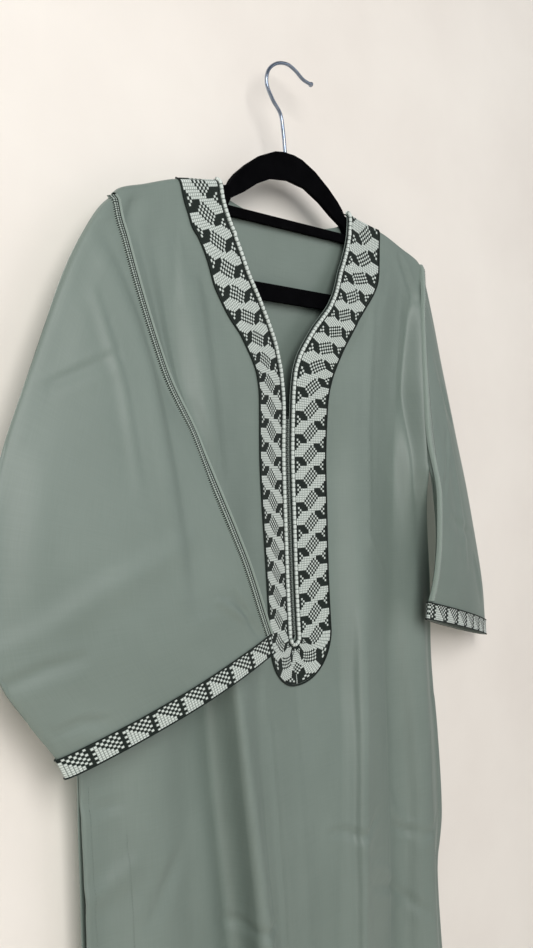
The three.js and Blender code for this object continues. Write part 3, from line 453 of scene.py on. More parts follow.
def below_underarm(table):
    return [row for row in table if row[0] <= UNDERARM_Z]


front_left = seam(FRONT_LEFT_SEAM)
front_right = seam(FRONT_RIGHT_SEAM)
back_left = seam(BACK_LEFT_ARMHOLE + below_underarm(FRONT_LEFT_SEAM))
back_right = seam(BACK_RIGHT_ARMHOLE + below_underarm(FRONT_RIGHT_SEAM))


def band_line(edge, lower, side):
    return table_curve([(z, x + side * LINE_MARGIN) for z, x in edge] + lower)


band_line_left = band_line(BAND_EDGE_LEFT, LEFT_BAND_LOWER, -1)
band_line_right = band_line(BAND_EDGE_RIGHT, RIGHT_BAND_LOWER, 1)
front_fold_x = {name: curve(FOLD_Z, x) for name, x in FRONT_FOLD_X.items()}
front_fold_y = {name: curve(FOLD_Z, y) for name, y in FRONT_FOLD_Y.items()}
back_fold_x = [curve(BACK_Z, x) for x in BACK_FOLD_X]
back_fold_y = [curve(BACK_Z, y) for y in BACK_FOLD_Y]


def row_z(x, level, dip):
    """Height of a row at a place along the wall: it follows the shoulder and levels out below."""
    out = np.abs(x - HANGER_X)
    roll_end = SHOULDER_TOP_Z - ROLL_DROP
    fade = 1 - smooth((roll_end - level) / (roll_end - FADE_END_Z))
    sag = dip * np.maximum(0, 1 - (out / NECK_OUT) ** 2)
    drop = np.where(out < SHOULDER[0][0], 0, shoulder_z(out) - SHOULDER_TOP_Z)
    return level + (drop - sag) * fade


def seam_edge(edge, level, face):
    """Place and depth of a panel's edge on each row. The lips of the pocket slits stand apart."""
    z = level
    for _ in range(4):
        z = row_z(edge[0](z), level, 0)
    height = POCKET["top"] - POCKET["bottom"]
    along = np.clip((POCKET["top"] - z) / height, 0, 1)
    pocket = POCKET["part"] * np.sqrt(np.sin(np.pi * along))
    apart = np.where(z < UNDERARM_Z + 1, SEAM_HALF + pocket, 0)
    return edge[0](z), edge[1](z) + face * apart


def front_lines(level):
    """Fold lines of the front panel on each row, from the left seam to the right, as places and depths."""
    left, right = seam_edge(front_left, level, -1), seam_edge(front_right, level, -1)
    below = level < SLIT_END_Z - 1
    x, y = front_fold_x, front_fold_y
    trough = x["left_trough"](level)
    lines = [
        left,
        (mix(left[0], trough, 0.5), y["left_soft"](level)),
        (trough, y["left_trough"](level)),
        (x["left_ridge"](level), y["left_ridge"](level)),
        (band_line_left(level), y["left_band"](level)),
        (np.where(below, SLIT_X, neck_left_x(level)), y["left_centre"](level)),
        (np.where(below, SLIT_X, neck_right_x(level)), y["right_centre"](level)),
        (band_line_right(level), y["right_band"](level)),
        (x["right_ridge"](level), y["right_ridge"](level)),
        (x["right_trough"](level), y["right_trough"](level)),
        (x["right_soft"](level), y["right_soft"](level)),
        right,
    ]
    return np.stack([a for a, _ in lines], -1), np.stack([b for _, b in lines], -1)


def back_lines(level):
    left, right = seam_edge(back_left, level, 1), seam_edge(back_right, level, 1)
    lines = [left] + [(x(level), y(level)) for x, y in zip(back_fold_x, back_fold_y)] + [right]
    return np.stack([a for a, _ in lines], -1), np.stack([b for _, b in lines], -1)


def fold_y(x, line_x, line_y, straight):
    """Depth at each place: eased between the fold lines of its row."""
    i = (x[..., None] > line_x[..., 1:-1]).sum(-1)
    pick = lambda table, k: np.take_along_axis(table, k[..., None], -1)[..., 0]
    start, end = pick(line_x, i), pick(line_x, i + 1)
    t = np.clip((x - start) / np.where(end == start, 1, end - start), 0, 1)
    t = np.where(np.isin(i, straight), t, smooth(t))
    return mix(pick(line_y, i), pick(line_y, i + 1), t)


def panel_points(x, level, face, lines, straight, dip):
    """Points of a panel that rolls over the hanger's arm at its top. Its folds grow below that."""
    drop = SHOULDER_TOP_Z - level
    grown = smooth((drop - ROLL_DROP) / ROLL_BLEND)
    y = mix(face * roll_y(drop), fold_y(x, *lines, straight), grown)
    return np.stack([x, y, row_z(x, level, dip)], -1)


def front_points(x, level):
    return panel_points(x, level, -1, front_lines(level), FRONT_STRAIGHT, 0)


def on_front(x, level, lift):
    """Points moved out from the front panel."""
    step = 0.5
    across = front_points(x + step, level) - front_points(x - step, level)
    upper = np.minimum(SHOULDER_TOP_Z, level + step)
    down = front_points(x, level - step) - front_points(x, upper)
    points = front_points(x, level)
    bumps = surface_relief(points[..., 0], points[..., 2], FRONT_CREASES) * band_calm(x, level)
    return points + unit(np.cross(down, across)) * (lift + bumps)[..., None]


def fade_in(level, calm):
    return smooth((calm["from"] - level) / calm["over"])


def band_calm(x, level):
    """Creases fade out at the shoulder's fold and under the woven band, which keeps the cloth flat."""
    left = smooth((band_line_left(level) - x) / CALM_BESIDE_BAND)
    right = smooth((x - band_line_right(level)) / CALM_BESIDE_BAND)
    beside = np.maximum(left, right)
    return np.maximum(beside, fade_in(level, CALM_UNDER_SLIT)) * fade_in(level, CALM_UNDER_SHOULDER)


def back_points(x, level):
    """Points of the back cloth with its creases."""
    points = panel_points(x, level, 1, back_lines(level), (), BACK_NECK_DIP)
    relief = surface_relief(points[..., 0], points[..., 2], BACK_CREASES) * fade_in(level, BACK_CALM)
    return points + np.stack([0 * relief, relief, 0 * relief], -1)


def on_back(x, level, lift):
    return back_points(x, level) + np.array([0, lift, 0])


def crease_lift(x, z, creases):
    """Height of the creases at each point: a rounded line with a shallow counter-fold on each side."""
    lift = np.zeros(np.shape(x))
    for right_width, left_width, height, way in creases:
        way = np.array(way, float)
        steps = np.hypot(*np.diff(way, axis=0).T)
        best = np.full(np.shape(x), 1e9)
        signed, share, start = np.zeros(np.shape(x)), np.zeros(np.shape(x)), 0.0
        for a, b, length in zip(way[:-1], way[1:], steps):
            ux, uz = (b - a) / length
            t = np.clip((x - a[0]) * ux + (z - a[1]) * uz, 0, length)
            dx, dz = x - a[0] - t * ux, z - a[1] - t * uz
            distance = np.hypot(dx, dz)
            near = distance < best
            best = np.where(near, distance, best)
            signed = np.where(near, distance * np.sign(ux * dz - uz * dx), signed)
            share = np.where(near, (start + t) / steps.sum(), share)
            start += length
        s = signed / np.where(signed > 0, left_width, right_width)
        ends = np.sqrt(np.sin(np.pi * np.clip(share, 0, 1)))
        lift += height * ends * (np.exp(-s * s) - COUNTER_FOLD * np.exp(-((np.abs(s) - 2) ** 2)))
    return lift


def surface_relief(x, z, creases):
    """Creases and the soft unevenness of hanging cloth."""
    slow = 0.7 * np.sin(x / 31 + z / 190) * np.sin(z / 83 + 1.3)
    fine = 0.3 * np.sin(x / 13 - z / 57 + 0.6) * np.sin(z / 37 + x / 61)
    return crease_lift(x, z, creases) + slow + fine


def grid_faces(rows, columns, closed=False, reverse=False):
    """Quads of a grid of points stored row by row, facing out for rows down and columns to the right."""
    count = columns if closed else columns - 1
    r, c = np.meshgrid(np.arange(rows - 1), np.arange(count), indexing="ij")
    n = (c + 1) % columns
    quads = np.stack([(r + 1) * columns + c, (r + 1) * columns + n, r * columns + n, r * columns + c], -1)
    quads = quads.reshape(-1, 4)
    return quads[:, ::-1] if reverse else quads


def normals_of(grid, closed=False):
    """Outward normals of a grid of points, rows down and columns to the right."""
    down = np.gradient(grid, axis=0)
    if closed:
        across = np.roll(grid, -1, 1) - np.roll(grid, 1, 1)
    else:
        across = np.gradient(grid, axis=1)
    return unit(np.cross(down, across))


def spread(line_x, cells):
    """Places on each row: a number of cells between each pair of fold lines."""
    places = [line_x[:, :1]]
    for i, count in enumerate(cells):
        t = np.arange(1, count + 1) / count
        places.append(mix(line_x[:, i : i + 1], line_x[:, i + 1 : i + 2], t))
    return np.concatenate(places, axis=1)


def add_piece(name, points, faces, materials, uv=None, face_material=None):
    """A smooth mesh piece that rides on the body. Points are in millimetres."""
    mesh = bpy.data.meshes.new(name)
    corners = faces if isinstance(faces, list) else faces.tolist()
    mesh.from_pydata((points.reshape(-1, 3) * MM).tolist(), [], corners)
    if uv is not None:
        layer = mesh.uv_layers.new(name="Cloth")
        corner = np.empty(len(mesh.loops), np.int32)
        mesh.loops.foreach_get("vertex_index", corner)
        flat = np.asarray(uv, np.float32).reshape(-1, 2) * MM
        layer.data.foreach_set("uv", flat[corner].ravel())
    for material in materials:
        mesh.materials.append(material)
    if face_material is not None:
        mesh.polygons.foreach_set("material_index", np.asarray(face_material, np.int32))
    mesh.polygons.foreach_set("use_smooth", np.ones(len(mesh.polygons), bool))
    mesh.update()
    piece = bpy.data.objects.new(name, mesh)
    bpy.context.scene.collection.objects.link(piece)
    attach(piece, "root")
    return piece


def thicken(piece, thickness):
    """Gives a sheet its thickness, half to each side."""
    modifier = piece.modifiers.new("Thickness", "SOLIDIFY")
    modifier.thickness = thickness * MM
    modifier.offset = 0
    return piece


def used_only(points, faces, uv):
    """Points, faces and texture places without the points that no face uses."""
    kept, faces = np.unique(faces, return_inverse=True)
    return points.reshape(-1, 3)[kept], faces.reshape(-1, 4), uv.reshape(-1, 2)[kept]


def shoulder_levels(bottom, step):
    """Heights of a panel's rows, close together where it rolls over the shoulder."""
    start = -145
    count = round((start - bottom) / step)
    return np.array(SHOULDER_ROWS + list(np.linspace(start, bottom, count + 1)))


def front_panel(material):
    """The front panel: two halves beside the neck and the slit, one cloth below them."""
    levels = shoulder_levels(HEM_Z, 4.6)
    line_x = front_lines(levels)[0]
    left, right = spread(line_x[:, :6], LEFT_CELLS), spread(line_x[:, 6:], RIGHT_CELLS)
    x = np.concatenate([left, right], axis=1)
    level = np.repeat(levels[:, None], x.shape[1], axis=1)
    points = on_front(x, level, 0)
    columns, split = x.shape[1], left.shape[1]
    faces = grid_faces(len(levels), columns)
    faces = faces[faces[:, 3] % columns != split - 1]
    joined = (faces % columns == split) & (levels[faces // columns] < SLIT_END_Z - 1)
    faces = np.where(joined, faces - 1, faces)
    points, faces, uv = used_only(points, faces, np.stack([x, level], -1))
    return thicken(add_piece("front_cloth", points, faces, [material], uv), CLOTH)


def back_panel(material):
    levels = shoulder_levels(HEM_Z, 6.5)
    x = spread(back_lines(levels)[0], BACK_CELLS)
    level = np.repeat(levels[:, None], x.shape[1], axis=1)
    points = back_points(x, level)
    columns = x.shape[1]
    faces = grid_faces(len(levels), columns, reverse=True)
    first = faces.min(axis=1)
    neck_from = sum(BACK_CELLS[:3])
    neck_to = neck_from + BACK_CELLS[3]
    place = first % columns
    high = levels[first // columns] > SHOULDER_TOP_Z - BACK_NECK_DROP
    faces = faces[~(high & (place >= neck_from) & (place < neck_to))]
    points, faces, uv = used_only(points, faces, np.stack([x, level], -1))
    return thicken(add_piece("back_cloth", points, faces, [material], uv), CLOTH)


def armhole_points(sleeve, across, face):
    """The sleeve's edge at the armhole, beside the panels' edges."""
    top, bottom = sleeve["outer_z"][0], sleeve["under_z"][0]
    z = mix(top, bottom, across)
    if sleeve["side"] < 0:
        edge = front_left if face < 0 else back_left
    else:
        edge = front_right if face < 0 else back_right
    y = mix(face * roll_y(top - z), edge[1](z), smooth((top - z - 4) / 30))
    points = np.stack([edge[0](z) + sleeve["side"] * SLEEVE_STANDOFF, y, z], -1)
    start = np.array([sleeve["outer_x"][0], sleeve["outer_y"][0], top])
    end = np.array([sleeve["under_x"][0], sleeve["under_y"][0], bottom])
    points = np.where((across <= 0)[..., None], start, points)
    return np.where((across >= 1)[..., None], end, points)


def sleeve_line(sleeve, part, share):
    return np.stack([curve(SLEEVE_SHARE, sleeve[part + "_" + axis])(share) for axis in "xyz"], -1)


def sleeve_points(sleeve, share, across, face):
    """Points of one half of a sleeve: face -1 is the front half and 1 the back half."""
    zero = np.zeros_like(share)
    outer, under = sleeve_line(sleeve, "outer", share), sleeve_line(sleeve, "under", share)
    chord = mix(outer, under, across[..., None])
    first = mix(sleeve_line(sleeve, "outer", zero), sleeve_line(sleeve, "under", zero), across[..., None])
    cut = armhole_points(sleeve, across, face) - first
    if face < 0:
        power, belly, fullness = 3, sleeve["front_belly"], mix(*FRONT_FULLNESS, across)
    else:
        power, belly, fullness = mix(3, 9, across), sleeve["back_belly"], BACK_FULLNESS
    hold = (1 - share) ** power
    swell = face * belly * np.sin(np.pi * np.clip(across, 0, 1)) ** fullness
    points = chord + cut * hold[..., None]
    points[..., 1] += swell * (1 - hold)
    return points


def sleeve_grid(sleeve, shares, count):
    """Rings of sleeve points: down the front from the outer fold, then back up behind."""
    across = 0.5 * (1 - np.cos(np.pi * np.arange(count + 1) / count))
    share, place = np.meshgrid(shares, across, indexing="ij")
    front = sleeve_points(sleeve, share, place, -1)
    back = sleeve_points(sleeve, share, place, 1)[:, 1:-1][:, ::-1]
    return np.concatenate([front, back], axis=1)


def sleeve_surface(sleeve, shares, count, creases):
    """The sleeve's rings with their creases, and the normals there."""
    grid = sleeve_grid(sleeve, shares, count)
    out = normals_of(grid, closed=True) * (-sleeve["side"])
    facing = np.clip(-out[..., 1] * 2, 0, 1)
    ends = smooth(shares / 0.08) * smooth((0.97 - shares) / 0.05)
    relief = surface_relief(grid[..., 0], grid[..., 2], creases) * facing
    hidden = 1.2 * np.sin(grid[..., 0] / 23 + grid[..., 2] / 47) * np.clip(out[..., 1], 0, 1)
    return grid + out * ((relief + hidden) * ends[:, None])[..., None], out


def sleeve_tube(name, sleeve, material, creases):
    shares = np.linspace(0, 1, 140)
    count = 96
    grid, _ = sleeve_surface(sleeve, shares, count, creases)
    faces = grid_faces(len(shares), grid.shape[1], closed=True, reverse=sleeve["side"] > 0)
    length = 460
    uv = np.stack(np.broadcast_arrays(run_along(grid[-1])[None], -length * shares[:, None]), -1)
    return thicken(add_piece(name, grid, faces, [material], uv), CLOTH)


def stitch_lines(cells, shares):
    """Mesh lines across a number of stitches: where each lies, in stitches, and which part starts there."""
    at = (np.arange(cells)[:, None] + np.array(shares)[None]).ravel()
    part = np.tile(np.arange(len(shares)), cells)
    return np.append(at, cells), np.append(part, 0)


def stitch_heights(pale, row_at, row_part, column_at, column_part):
    """Heights of the mesh points of a stitched band: pale stitches stand a little higher, grooves lie low."""
    rows, columns = pale.shape
    high = pale[np.minimum(row_at.astype(int), rows - 1)][:, np.minimum(column_at.astype(int), columns - 1)]
    along = np.where(row_part == 0, 0.0, np.where(row_part == 2, 1.0, 0.85))[:, None]
    across = np.where(column_part == 0, 0.0, 1.0)[None]
    return STITCH_HEIGHT * mix(0.35, 1.0, high.astype(float)) * along * across


def stitch_shades(pale, row_at, row_part, column_at, column_part):
    """Material of each face of a stitched band. The grooves round pale stitches get painted shade, a darker
    tone where shade falls in them.
    """
    row, column = row_at[:-1].astype(int), column_at[:-1].astype(int)
    cell = pale[row][:, column]
    last_row, last_column = len(STITCH_ROWS) - 1, len(STITCH_COLUMNS) - 1
    row_groove = (row_part[:-1] == 0) | (row_part[:-1] == last_row)
    column_groove = (column_part[:-1] == 0) | (column_part[:-1] == last_column)
    groove = row_groove[:, None] | column_groove[None]
    return np.where(cell, np.where(groove, GROOVE, PALE), DARK).ravel()


def station_lines(side):
    """Down one side of the neck and round to the middle of the slit's end: neck edge and band edge."""
    left = side < 0
    neck = neck_left_x if left else neck_right_x
    edge_table = BAND_EDGE_LEFT if left else BAND_EDGE_RIGHT
    edge = table_curve(edge_table)
    levels = np.linspace(SHOULDER_TOP_Z, SLIT_END_Z, 260)
    outer_level = levels - band_slant(levels)
    inner = np.stack([neck(levels), levels], -1)
    outer = np.stack([edge(outer_level), outer_level], -1)
    turn = np.linspace(0, np.pi / 2, 40)[1:]
    reach = abs(edge_table[-1][1] - SLIT_X)
    middle = (abs(BAND_EDGE_LEFT[-1][1] - SLIT_X) + abs(BAND_EDGE_RIGHT[-1][1] - SLIT_X)) / 2
    out = mix(reach, middle, turn / (np.pi / 2)) * mix(1, 0.9, np.sin(turn))
    ray = np.stack([side * np.cos(turn), -np.sin(turn)], -1)
    centre = np.array([SLIT_X, SLIT_END_Z])
    return (
        np.concatenate([inner, centre + ray * SLIT_HALF]),
        np.concatenate([outer, centre + ray * out[:, None]]),
    )


def band_run(inner, outer):
    """Distance along the band's middle from its phase height, shrunk where the repeats are longer."""
    middle = mix(inner, outer, 0.55)
    steps = np.diff(run_along(middle)) / band_stretch(inner[:-1, 1])
    run = np.concatenate([[0], np.cumsum(steps)])
    return run - np.interp(-BAND_PHASE_Z, -middle[:, 1], run)


def woven_band(name, side, materials):
    """One half of the woven neck band, stitch by stitch, from the shoulder to the middle of its end."""
    inner, outer = station_lines(side)
    run = band_run(inner, outer)
    pitch = BAND_REPEAT / len(BAND_CHART)
    first, last = math.floor(run[0] / pitch), math.ceil(run[-1] / pitch)
    pale = chart_marks(BAND_CHART)[(np.arange(first, last) + len(BAND_CHART) // 2) % len(BAND_CHART)]
    row_at, row_part = stitch_lines(len(pale), STITCH_ROWS)
    column_at, column_part = stitch_lines(pale.shape[1], STITCH_COLUMNS)
    lengths = np.clip((first + row_at) * pitch, run[0], run[-1])
    inner, outer = read_at(inner, run, lengths), read_at(outer, run, lengths)
    whole = np.linalg.norm(outer - inner, axis=-1)
    start = BAND_START / whole
    t = mix(start[:, None], 1 - 0.2 / whole[:, None], column_at[None] / pale.shape[1])
    place = mix(inner[:, None], outer[:, None], t[..., None])
    height = stitch_heights(pale, row_at, row_part, column_at, column_part)
    height[:, [0, -1]] = -BAND_LIFT + CLOTH
    height[0] = -BAND_LIFT + CLOTH
    points = on_front(place[..., 0], np.minimum(place[..., 1], SHOULDER_TOP_Z), BAND_LIFT + height)
    faces = grid_faces(len(row_at), len(column_at), reverse=side > 0)
    shade = stitch_shades(pale, row_at, row_part, column_at, column_part)
    uv = np.stack(np.broadcast_arrays(column_at[None] * STITCH_WIDTH, -lengths[:, None]), -1)
    return add_piece(name, points, faces, materials, uv, shade)


def neck_path(out, past_band=False, count=700):
    """A line round the neck and the slit, out from the neck edge or past the band's outer edge."""
    ways = []
    for side in (-1, 1):
        inner, outer = station_lines(side)
        whole = np.linalg.norm(outer - inner, axis=-1)
        t = (whole + out) / whole if past_band else out / whole
        way = mix(inner, outer, t[:, None])
        ways.append(way if side < 0 else way[::-1][1:])
    way = np.concatenate(ways)
    run = run_along(way)
    return read_at(way, run, np.linspace(0, run[-1], count)), run[-1]


def tube(name, centres, radii, sides, material, gap_material=None, gaps=None):
    """A round cord through a list of points. Its gaps, if it has any, get another material."""
    radii = np.broadcast_to(radii, len(centres))
    along = unit(np.gradient(centres, axis=0))
    side = unit(np.cross(along, [0, 1, 0]))
    up = np.cross(side, along)
    turn = 2 * np.pi * np.arange(sides) / sides
    ring = side[:, None] * np.cos(turn)[None, :, None] + up[:, None] * np.sin(turn)[None, :, None]
    points = centres[:, None] + ring * radii[:, None, None]
    last = (len(centres) - 1) * sides
    faces = grid_faces(len(centres), sides, closed=True).tolist()
    faces += [list(range(sides)), [last + k for k in reversed(range(sides))]]
    if gap_material is None:
        return add_piece(name, points, faces, [material])
    in_gap = np.concatenate([np.repeat(gaps[:-1], sides), [0, 0]])
    return add_piece(name, points, faces, [material, gap_material], None, in_gap)


def neck_cord(name, cord, material, past_band=False, gap_material=None):
    """A cord round the neck on the front cloth, plain or, with a pitch, a row of long beads whose gaps get
    painted shade.
    """
    beaded = "pitch" in cord
    count = 3200 if beaded else 700
    way, length = neck_path(cord["out"], past_band, count)
    lift = CLOTH / 2 + 0.2 + cord["radius"] * 0.8
    centres = on_front(way[:, 0], np.minimum(way[:, 1], SHOULDER_TOP_Z), lift)
    radii = np.full(count, cord["radius"], float)
    if not beaded:
        return tube(name, centres, radii, 8, material)
    swell = np.abs(np.sin(np.pi * np.linspace(0, length, count) / cord["pitch"]))
    radii *= 0.8 + 0.2 * swell**0.5
    # The narrow gaps between beads take the gap material: painted shade.
    return tube(name, centres, radii, 8, material, gap_material, swell < 0.33)


def beads(name, centres, radius, height, material):
    """Small rounded knots at a list of points, flattened to the given height."""
    rings, sides = 5, 8
    tilt = np.linspace(0, np.pi, rings + 2)
    turn = 2 * np.pi * np.arange(sides) / sides
    across, up = np.outer(np.sin(tilt), np.cos(turn)), np.outer(np.sin(tilt), np.sin(turn))
    out = np.outer(np.cos(tilt), np.ones(sides))
    ball = np.stack([radius * across, height * out, radius * up], -1).reshape(-1, 3)
    faces = grid_faces(rings + 2, sides, closed=True)
    points = np.array(centres)[:, None] + ball[None]
    offsets = np.arange(len(centres))[:, None, None] * len(ball)
    return add_piece(name, points, (faces[None] + offsets).reshape(-1, 4), [material])


def slit_knots(ground, knot):
    """The dark ground in the slit and the two columns of small knots on it."""
    depth_at = lambda z: front_points(np.full(len(z), SLIT_X - SLIT_HALF), z)[:, 1]
    levels = np.linspace(SLIT_GROUND["top"], SLIT_END_Z + 1, 60)
    places = SLIT_X + np.array(SLIT_GROUND["places"])
    rows = np.broadcast_arrays(places[None], depth_at(levels)[:, None] + 0.2, levels[:, None])
    faces = grid_faces(len(levels), len(places))
    strip = thicken(add_piece("slit_ground", np.stack(rows, -1), faces, [ground]), SLIT_GROUND["thickness"])
    heights = np.arange(KNOTS["top"], SLIT_END_Z + 3, -KNOTS["pitch"])
    depths = depth_at(heights) - KNOTS["height"]
    shifts = np.where(np.arange(len(heights)) % 2, KNOTS["shift"], -KNOTS["shift"])
    centres = [
        (SLIT_X + side * KNOTS["out"] + shift, depth, z)
        for z, depth, shift in zip(heights, depths, shifts)
        for side in (-1, 1)
    ]
    return strip, beads("slit_knots", centres, KNOTS["radius"], KNOTS["height"], knot)


def cuff_band(name, sleeve, materials, creases):
    """The woven band round the cuff, stitch by stitch."""
    chart = chart_marks(CUFF_CHART)
    row_at, row_part = stitch_lines(len(chart), STITCH_ROWS)
    shares = mix(CUFF_BAND_FROM, CUFF_BAND_TO, row_at / len(chart))
    fine, out = sleeve_surface(sleeve, shares, 220, creases)
    run = run_along(np.concatenate([fine[-1], fine[-1, :1]]))
    pale = np.tile(chart, round(run[-1] / CUFF_REPEAT))
    if sleeve["side"] > 0:
        pale = pale[:, ::-1]
    column_at, column_part = stitch_lines(pale.shape[1], STITCH_COLUMNS)
    at = column_at[:-1] / pale.shape[1] * run[-1]
    read = lambda rings: np.stack([read_at(np.concatenate([ring, ring[:1]]), run, at) for ring in rings])
    grid, normal = read(fine), unit(read(out))
    height = stitch_heights(pale, row_at, row_part, column_at, column_part)[:, :-1]
    height[[0, -1]] = -BAND_LIFT + CLOTH
    points = grid + normal * (BAND_LIFT + height)[..., None]
    faces = grid_faces(len(shares), len(at), closed=True, reverse=sleeve["side"] > 0)
    shade = stitch_shades(pale, row_at, row_part, column_at, column_part)
    return add_piece(name, points, faces, materials, None, shade)


def cuff_cord(name, sleeve, share, material, creases):
    """A thin dark cord round the sleeve at one edge of the cuff band."""
    grid, out = sleeve_surface(sleeve, np.array([share - 0.01, share, share + 0.001]), 110, creases)
    ring = grid[1] + out[1] * CUFF_CORD["lift"]
    return tube(name, np.concatenate([ring, ring[:1]]), CUFF_CORD["radius"], 6, material)


def sleeve_trim_line(sleeve):
    """The seam that the trim covers: down the armhole, then along the under-sleeve seam."""
    armhole = armhole_points(sleeve, np.linspace(0, TRIM_ARMHOLE_TO, 60), -1)
    under = sleeve_line(sleeve, "under", np.linspace(*TRIM_SEAM_SPAN, 60))
    line = np.concatenate([armhole, under])
    run = run_along(line)
    line = read_at(line, run, np.arange(0, run[-1], LOOP_PITCH / LOOP_ROWS))
    kernel = np.ones(41) / 41
    for i in range(3):
        line[20:-20, i] = np.convolve(line[:, i], kernel, mode="valid")
    return line


def depth_finder(sleeve, creases):
    """Reads the depth of the sleeve's front at a place and height, from in front of it."""
    grid, _ = sleeve_surface(sleeve, np.linspace(0, 1, 90), 90, creases)
    faces = grid_faces(len(grid), grid.shape[1], closed=True)
    tree = BVHTree.FromPolygons(grid.reshape(-1, 3).tolist(), faces.tolist())

    def depth(x, z, otherwise):
        hit = tree.ray_cast((x, -200, z), (0, 1, 0))[0]
        return otherwise if hit is None else min(hit.y, otherwise)

    return depth


def sleeve_trim(name, sleeve, creases, materials):
    """A braid over the sleeve's seam, on the sleeve's front, with a smooth ridge on the body side."""
    line = sleeve_trim_line(sleeve)
    along = unit(np.gradient(line, axis=0))
    to_sleeve = np.stack([-along[:, 2], np.zeros(len(line)), along[:, 0]], -1)
    to_sleeve = unit(to_sleeve * sleeve["side"] * np.sign(to_sleeve[:, :1]))
    depth = depth_finder(sleeve, creases)
    span = 12
    kernel = np.ones(2 * span + 1) / (2 * span + 1)
    points = np.empty((len(line), len(TRIM_SECTION), 3))
    for column, (out, height, _) in enumerate(TRIM_SECTION):
        depths = [depth(x, z, y) for x, y, z in line + to_sleeve * max(out, 0.8)]
        points[:, column] = line + to_sleeve * out
        points[:, column, 1] = np.convolve(np.pad(depths, span, mode="edge"), kernel, mode="valid") - height
    row = (np.arange(len(line)) % LOOP_ROWS)[:, None]
    parts = np.array([part for _, _, part in TRIM_SECTION])
    points[..., 1] += LOOP_DIP * ((row == 0) & (parts == "loop"))
    row, parts = row[:-1], parts[:-1]
    dark = ((parts == "loop") & (row == LOOP_ROWS - 1)) | ((parts == "dots") & (row < 2))
    shade = np.where(dark, TRIM_SHADES["dark"], [TRIM_SHADES[part] for part in parts])
    faces = grid_faces(len(line), len(TRIM_SECTION), reverse=sleeve["side"] < 0)
    return add_piece(name, points, faces, materials, None, shade.ravel())


def seam_stitches(name, way, material, on_cloth):
    """Short stitches along a way of places and heights: a slim six-pointed form for each, on the cloth."""
    way = np.array(way, float)
    run = run_along(way)
    read = lambda at: on_cloth(*read_at(way, run, at).T, SEWN_STITCH["lift"])
    at = np.arange(SEWN_STITCH["pitch"] / 2, run[-1], SEWN_STITCH["pitch"])
    centres = read(at)
    along = unit(read(at + 0.5) - centres)
    side = unit(np.cross(along, [0, -1, 0]))
    ends = along * SEWN_STITCH["pitch"] * SEWN_STITCH["length"] / 2
    sides = side * SEWN_STITCH["width"] / 2
    high = np.cross(side, along) * SEWN_STITCH["width"] / 2
    points = np.stack([centres + sign * to for to in (ends, sides, high) for sign in (-1, 1)], axis=1)
    one = np.array([(0, 2, 5), (0, 5, 3), (0, 3, 4), (0, 4, 2), (1, 5, 2), (1, 3, 5), (1, 4, 3), (1, 2, 4)])
    faces = one[None] + 6 * np.arange(len(centres))[:, None, None]
    return add_piece(name, points, faces.reshape(-1, 3), [material])


def catmull_rom(points, count):
    """A centripetal curve through the points, evenly spaced."""
    points = np.array(points, float)
    ends = np.concatenate([[2 * points[0] - points[1]], points, [2 * points[-1] - points[-2]]])
    way = []
    for p0, p1, p2, p3 in zip(ends[:-3], ends[1:-2], ends[2:-1], ends[3:]):
        d0, d1, d2 = (np.linalg.norm(b - a) ** 0.5 for a, b in ((p0, p1), (p1, p2), (p2, p3)))
        m1 = d1 * ((p1 - p0) / d0 - (p2 - p0) / (d0 + d1) + (p2 - p1) / d1)
        m2 = d1 * ((p2 - p1) / d1 - (p3 - p1) / (d1 + d2) + (p3 - p2) / d2)
        for t in np.linspace(0, 1, 24, endpoint=False):
            cubic = (2 * p1 - 2 * p2 + m1 + m2) * t**3 + (-3 * p1 + 3 * p2 - 2 * m1 - m2) * t**2
            way.append(cubic + m1 * t + p1)
    way = np.array(way + [points[-1]])
    run = run_along(way)
    return read_at(way, run, np.linspace(0, run[-1], count))


def hanger_hook(material):
    """The wire hook with its rounded tip."""
    flat = catmull_rom(HOOK_WAY, 220)
    centres = np.stack([flat[:, 0], np.zeros(len(flat)), flat[:, 1]], -1)
    from_tip = np.linspace(1, 0, len(flat)) * HOOK_LENGTH
    middle, radius = HOOK_TIP["middle"], HOOK_TIP["radius"]
    tip = np.sqrt(np.clip(1 - ((from_tip - middle) / radius) ** 2, 0, 1)) * radius
    wire = np.where(from_tip < middle, 0.05, HOOK_WIRE / 2)
    radii = np.where(from_tip < HOOK_TIP["length"], np.maximum(tip, wire), HOOK_WIRE / 2)
    return tube("hook_wire", centres, radii, 20, material)


# Materials


def srgb(red, green, blue):
    """A colour given as 0 to 255 on a screen."""
    linear = lambda v: v / 12.92 if v <= 0.04045 else ((v + 0.055) / 1.055) ** 2.4
    return tuple(linear(v / 255) for v in (red, green, blue)) + (1,)


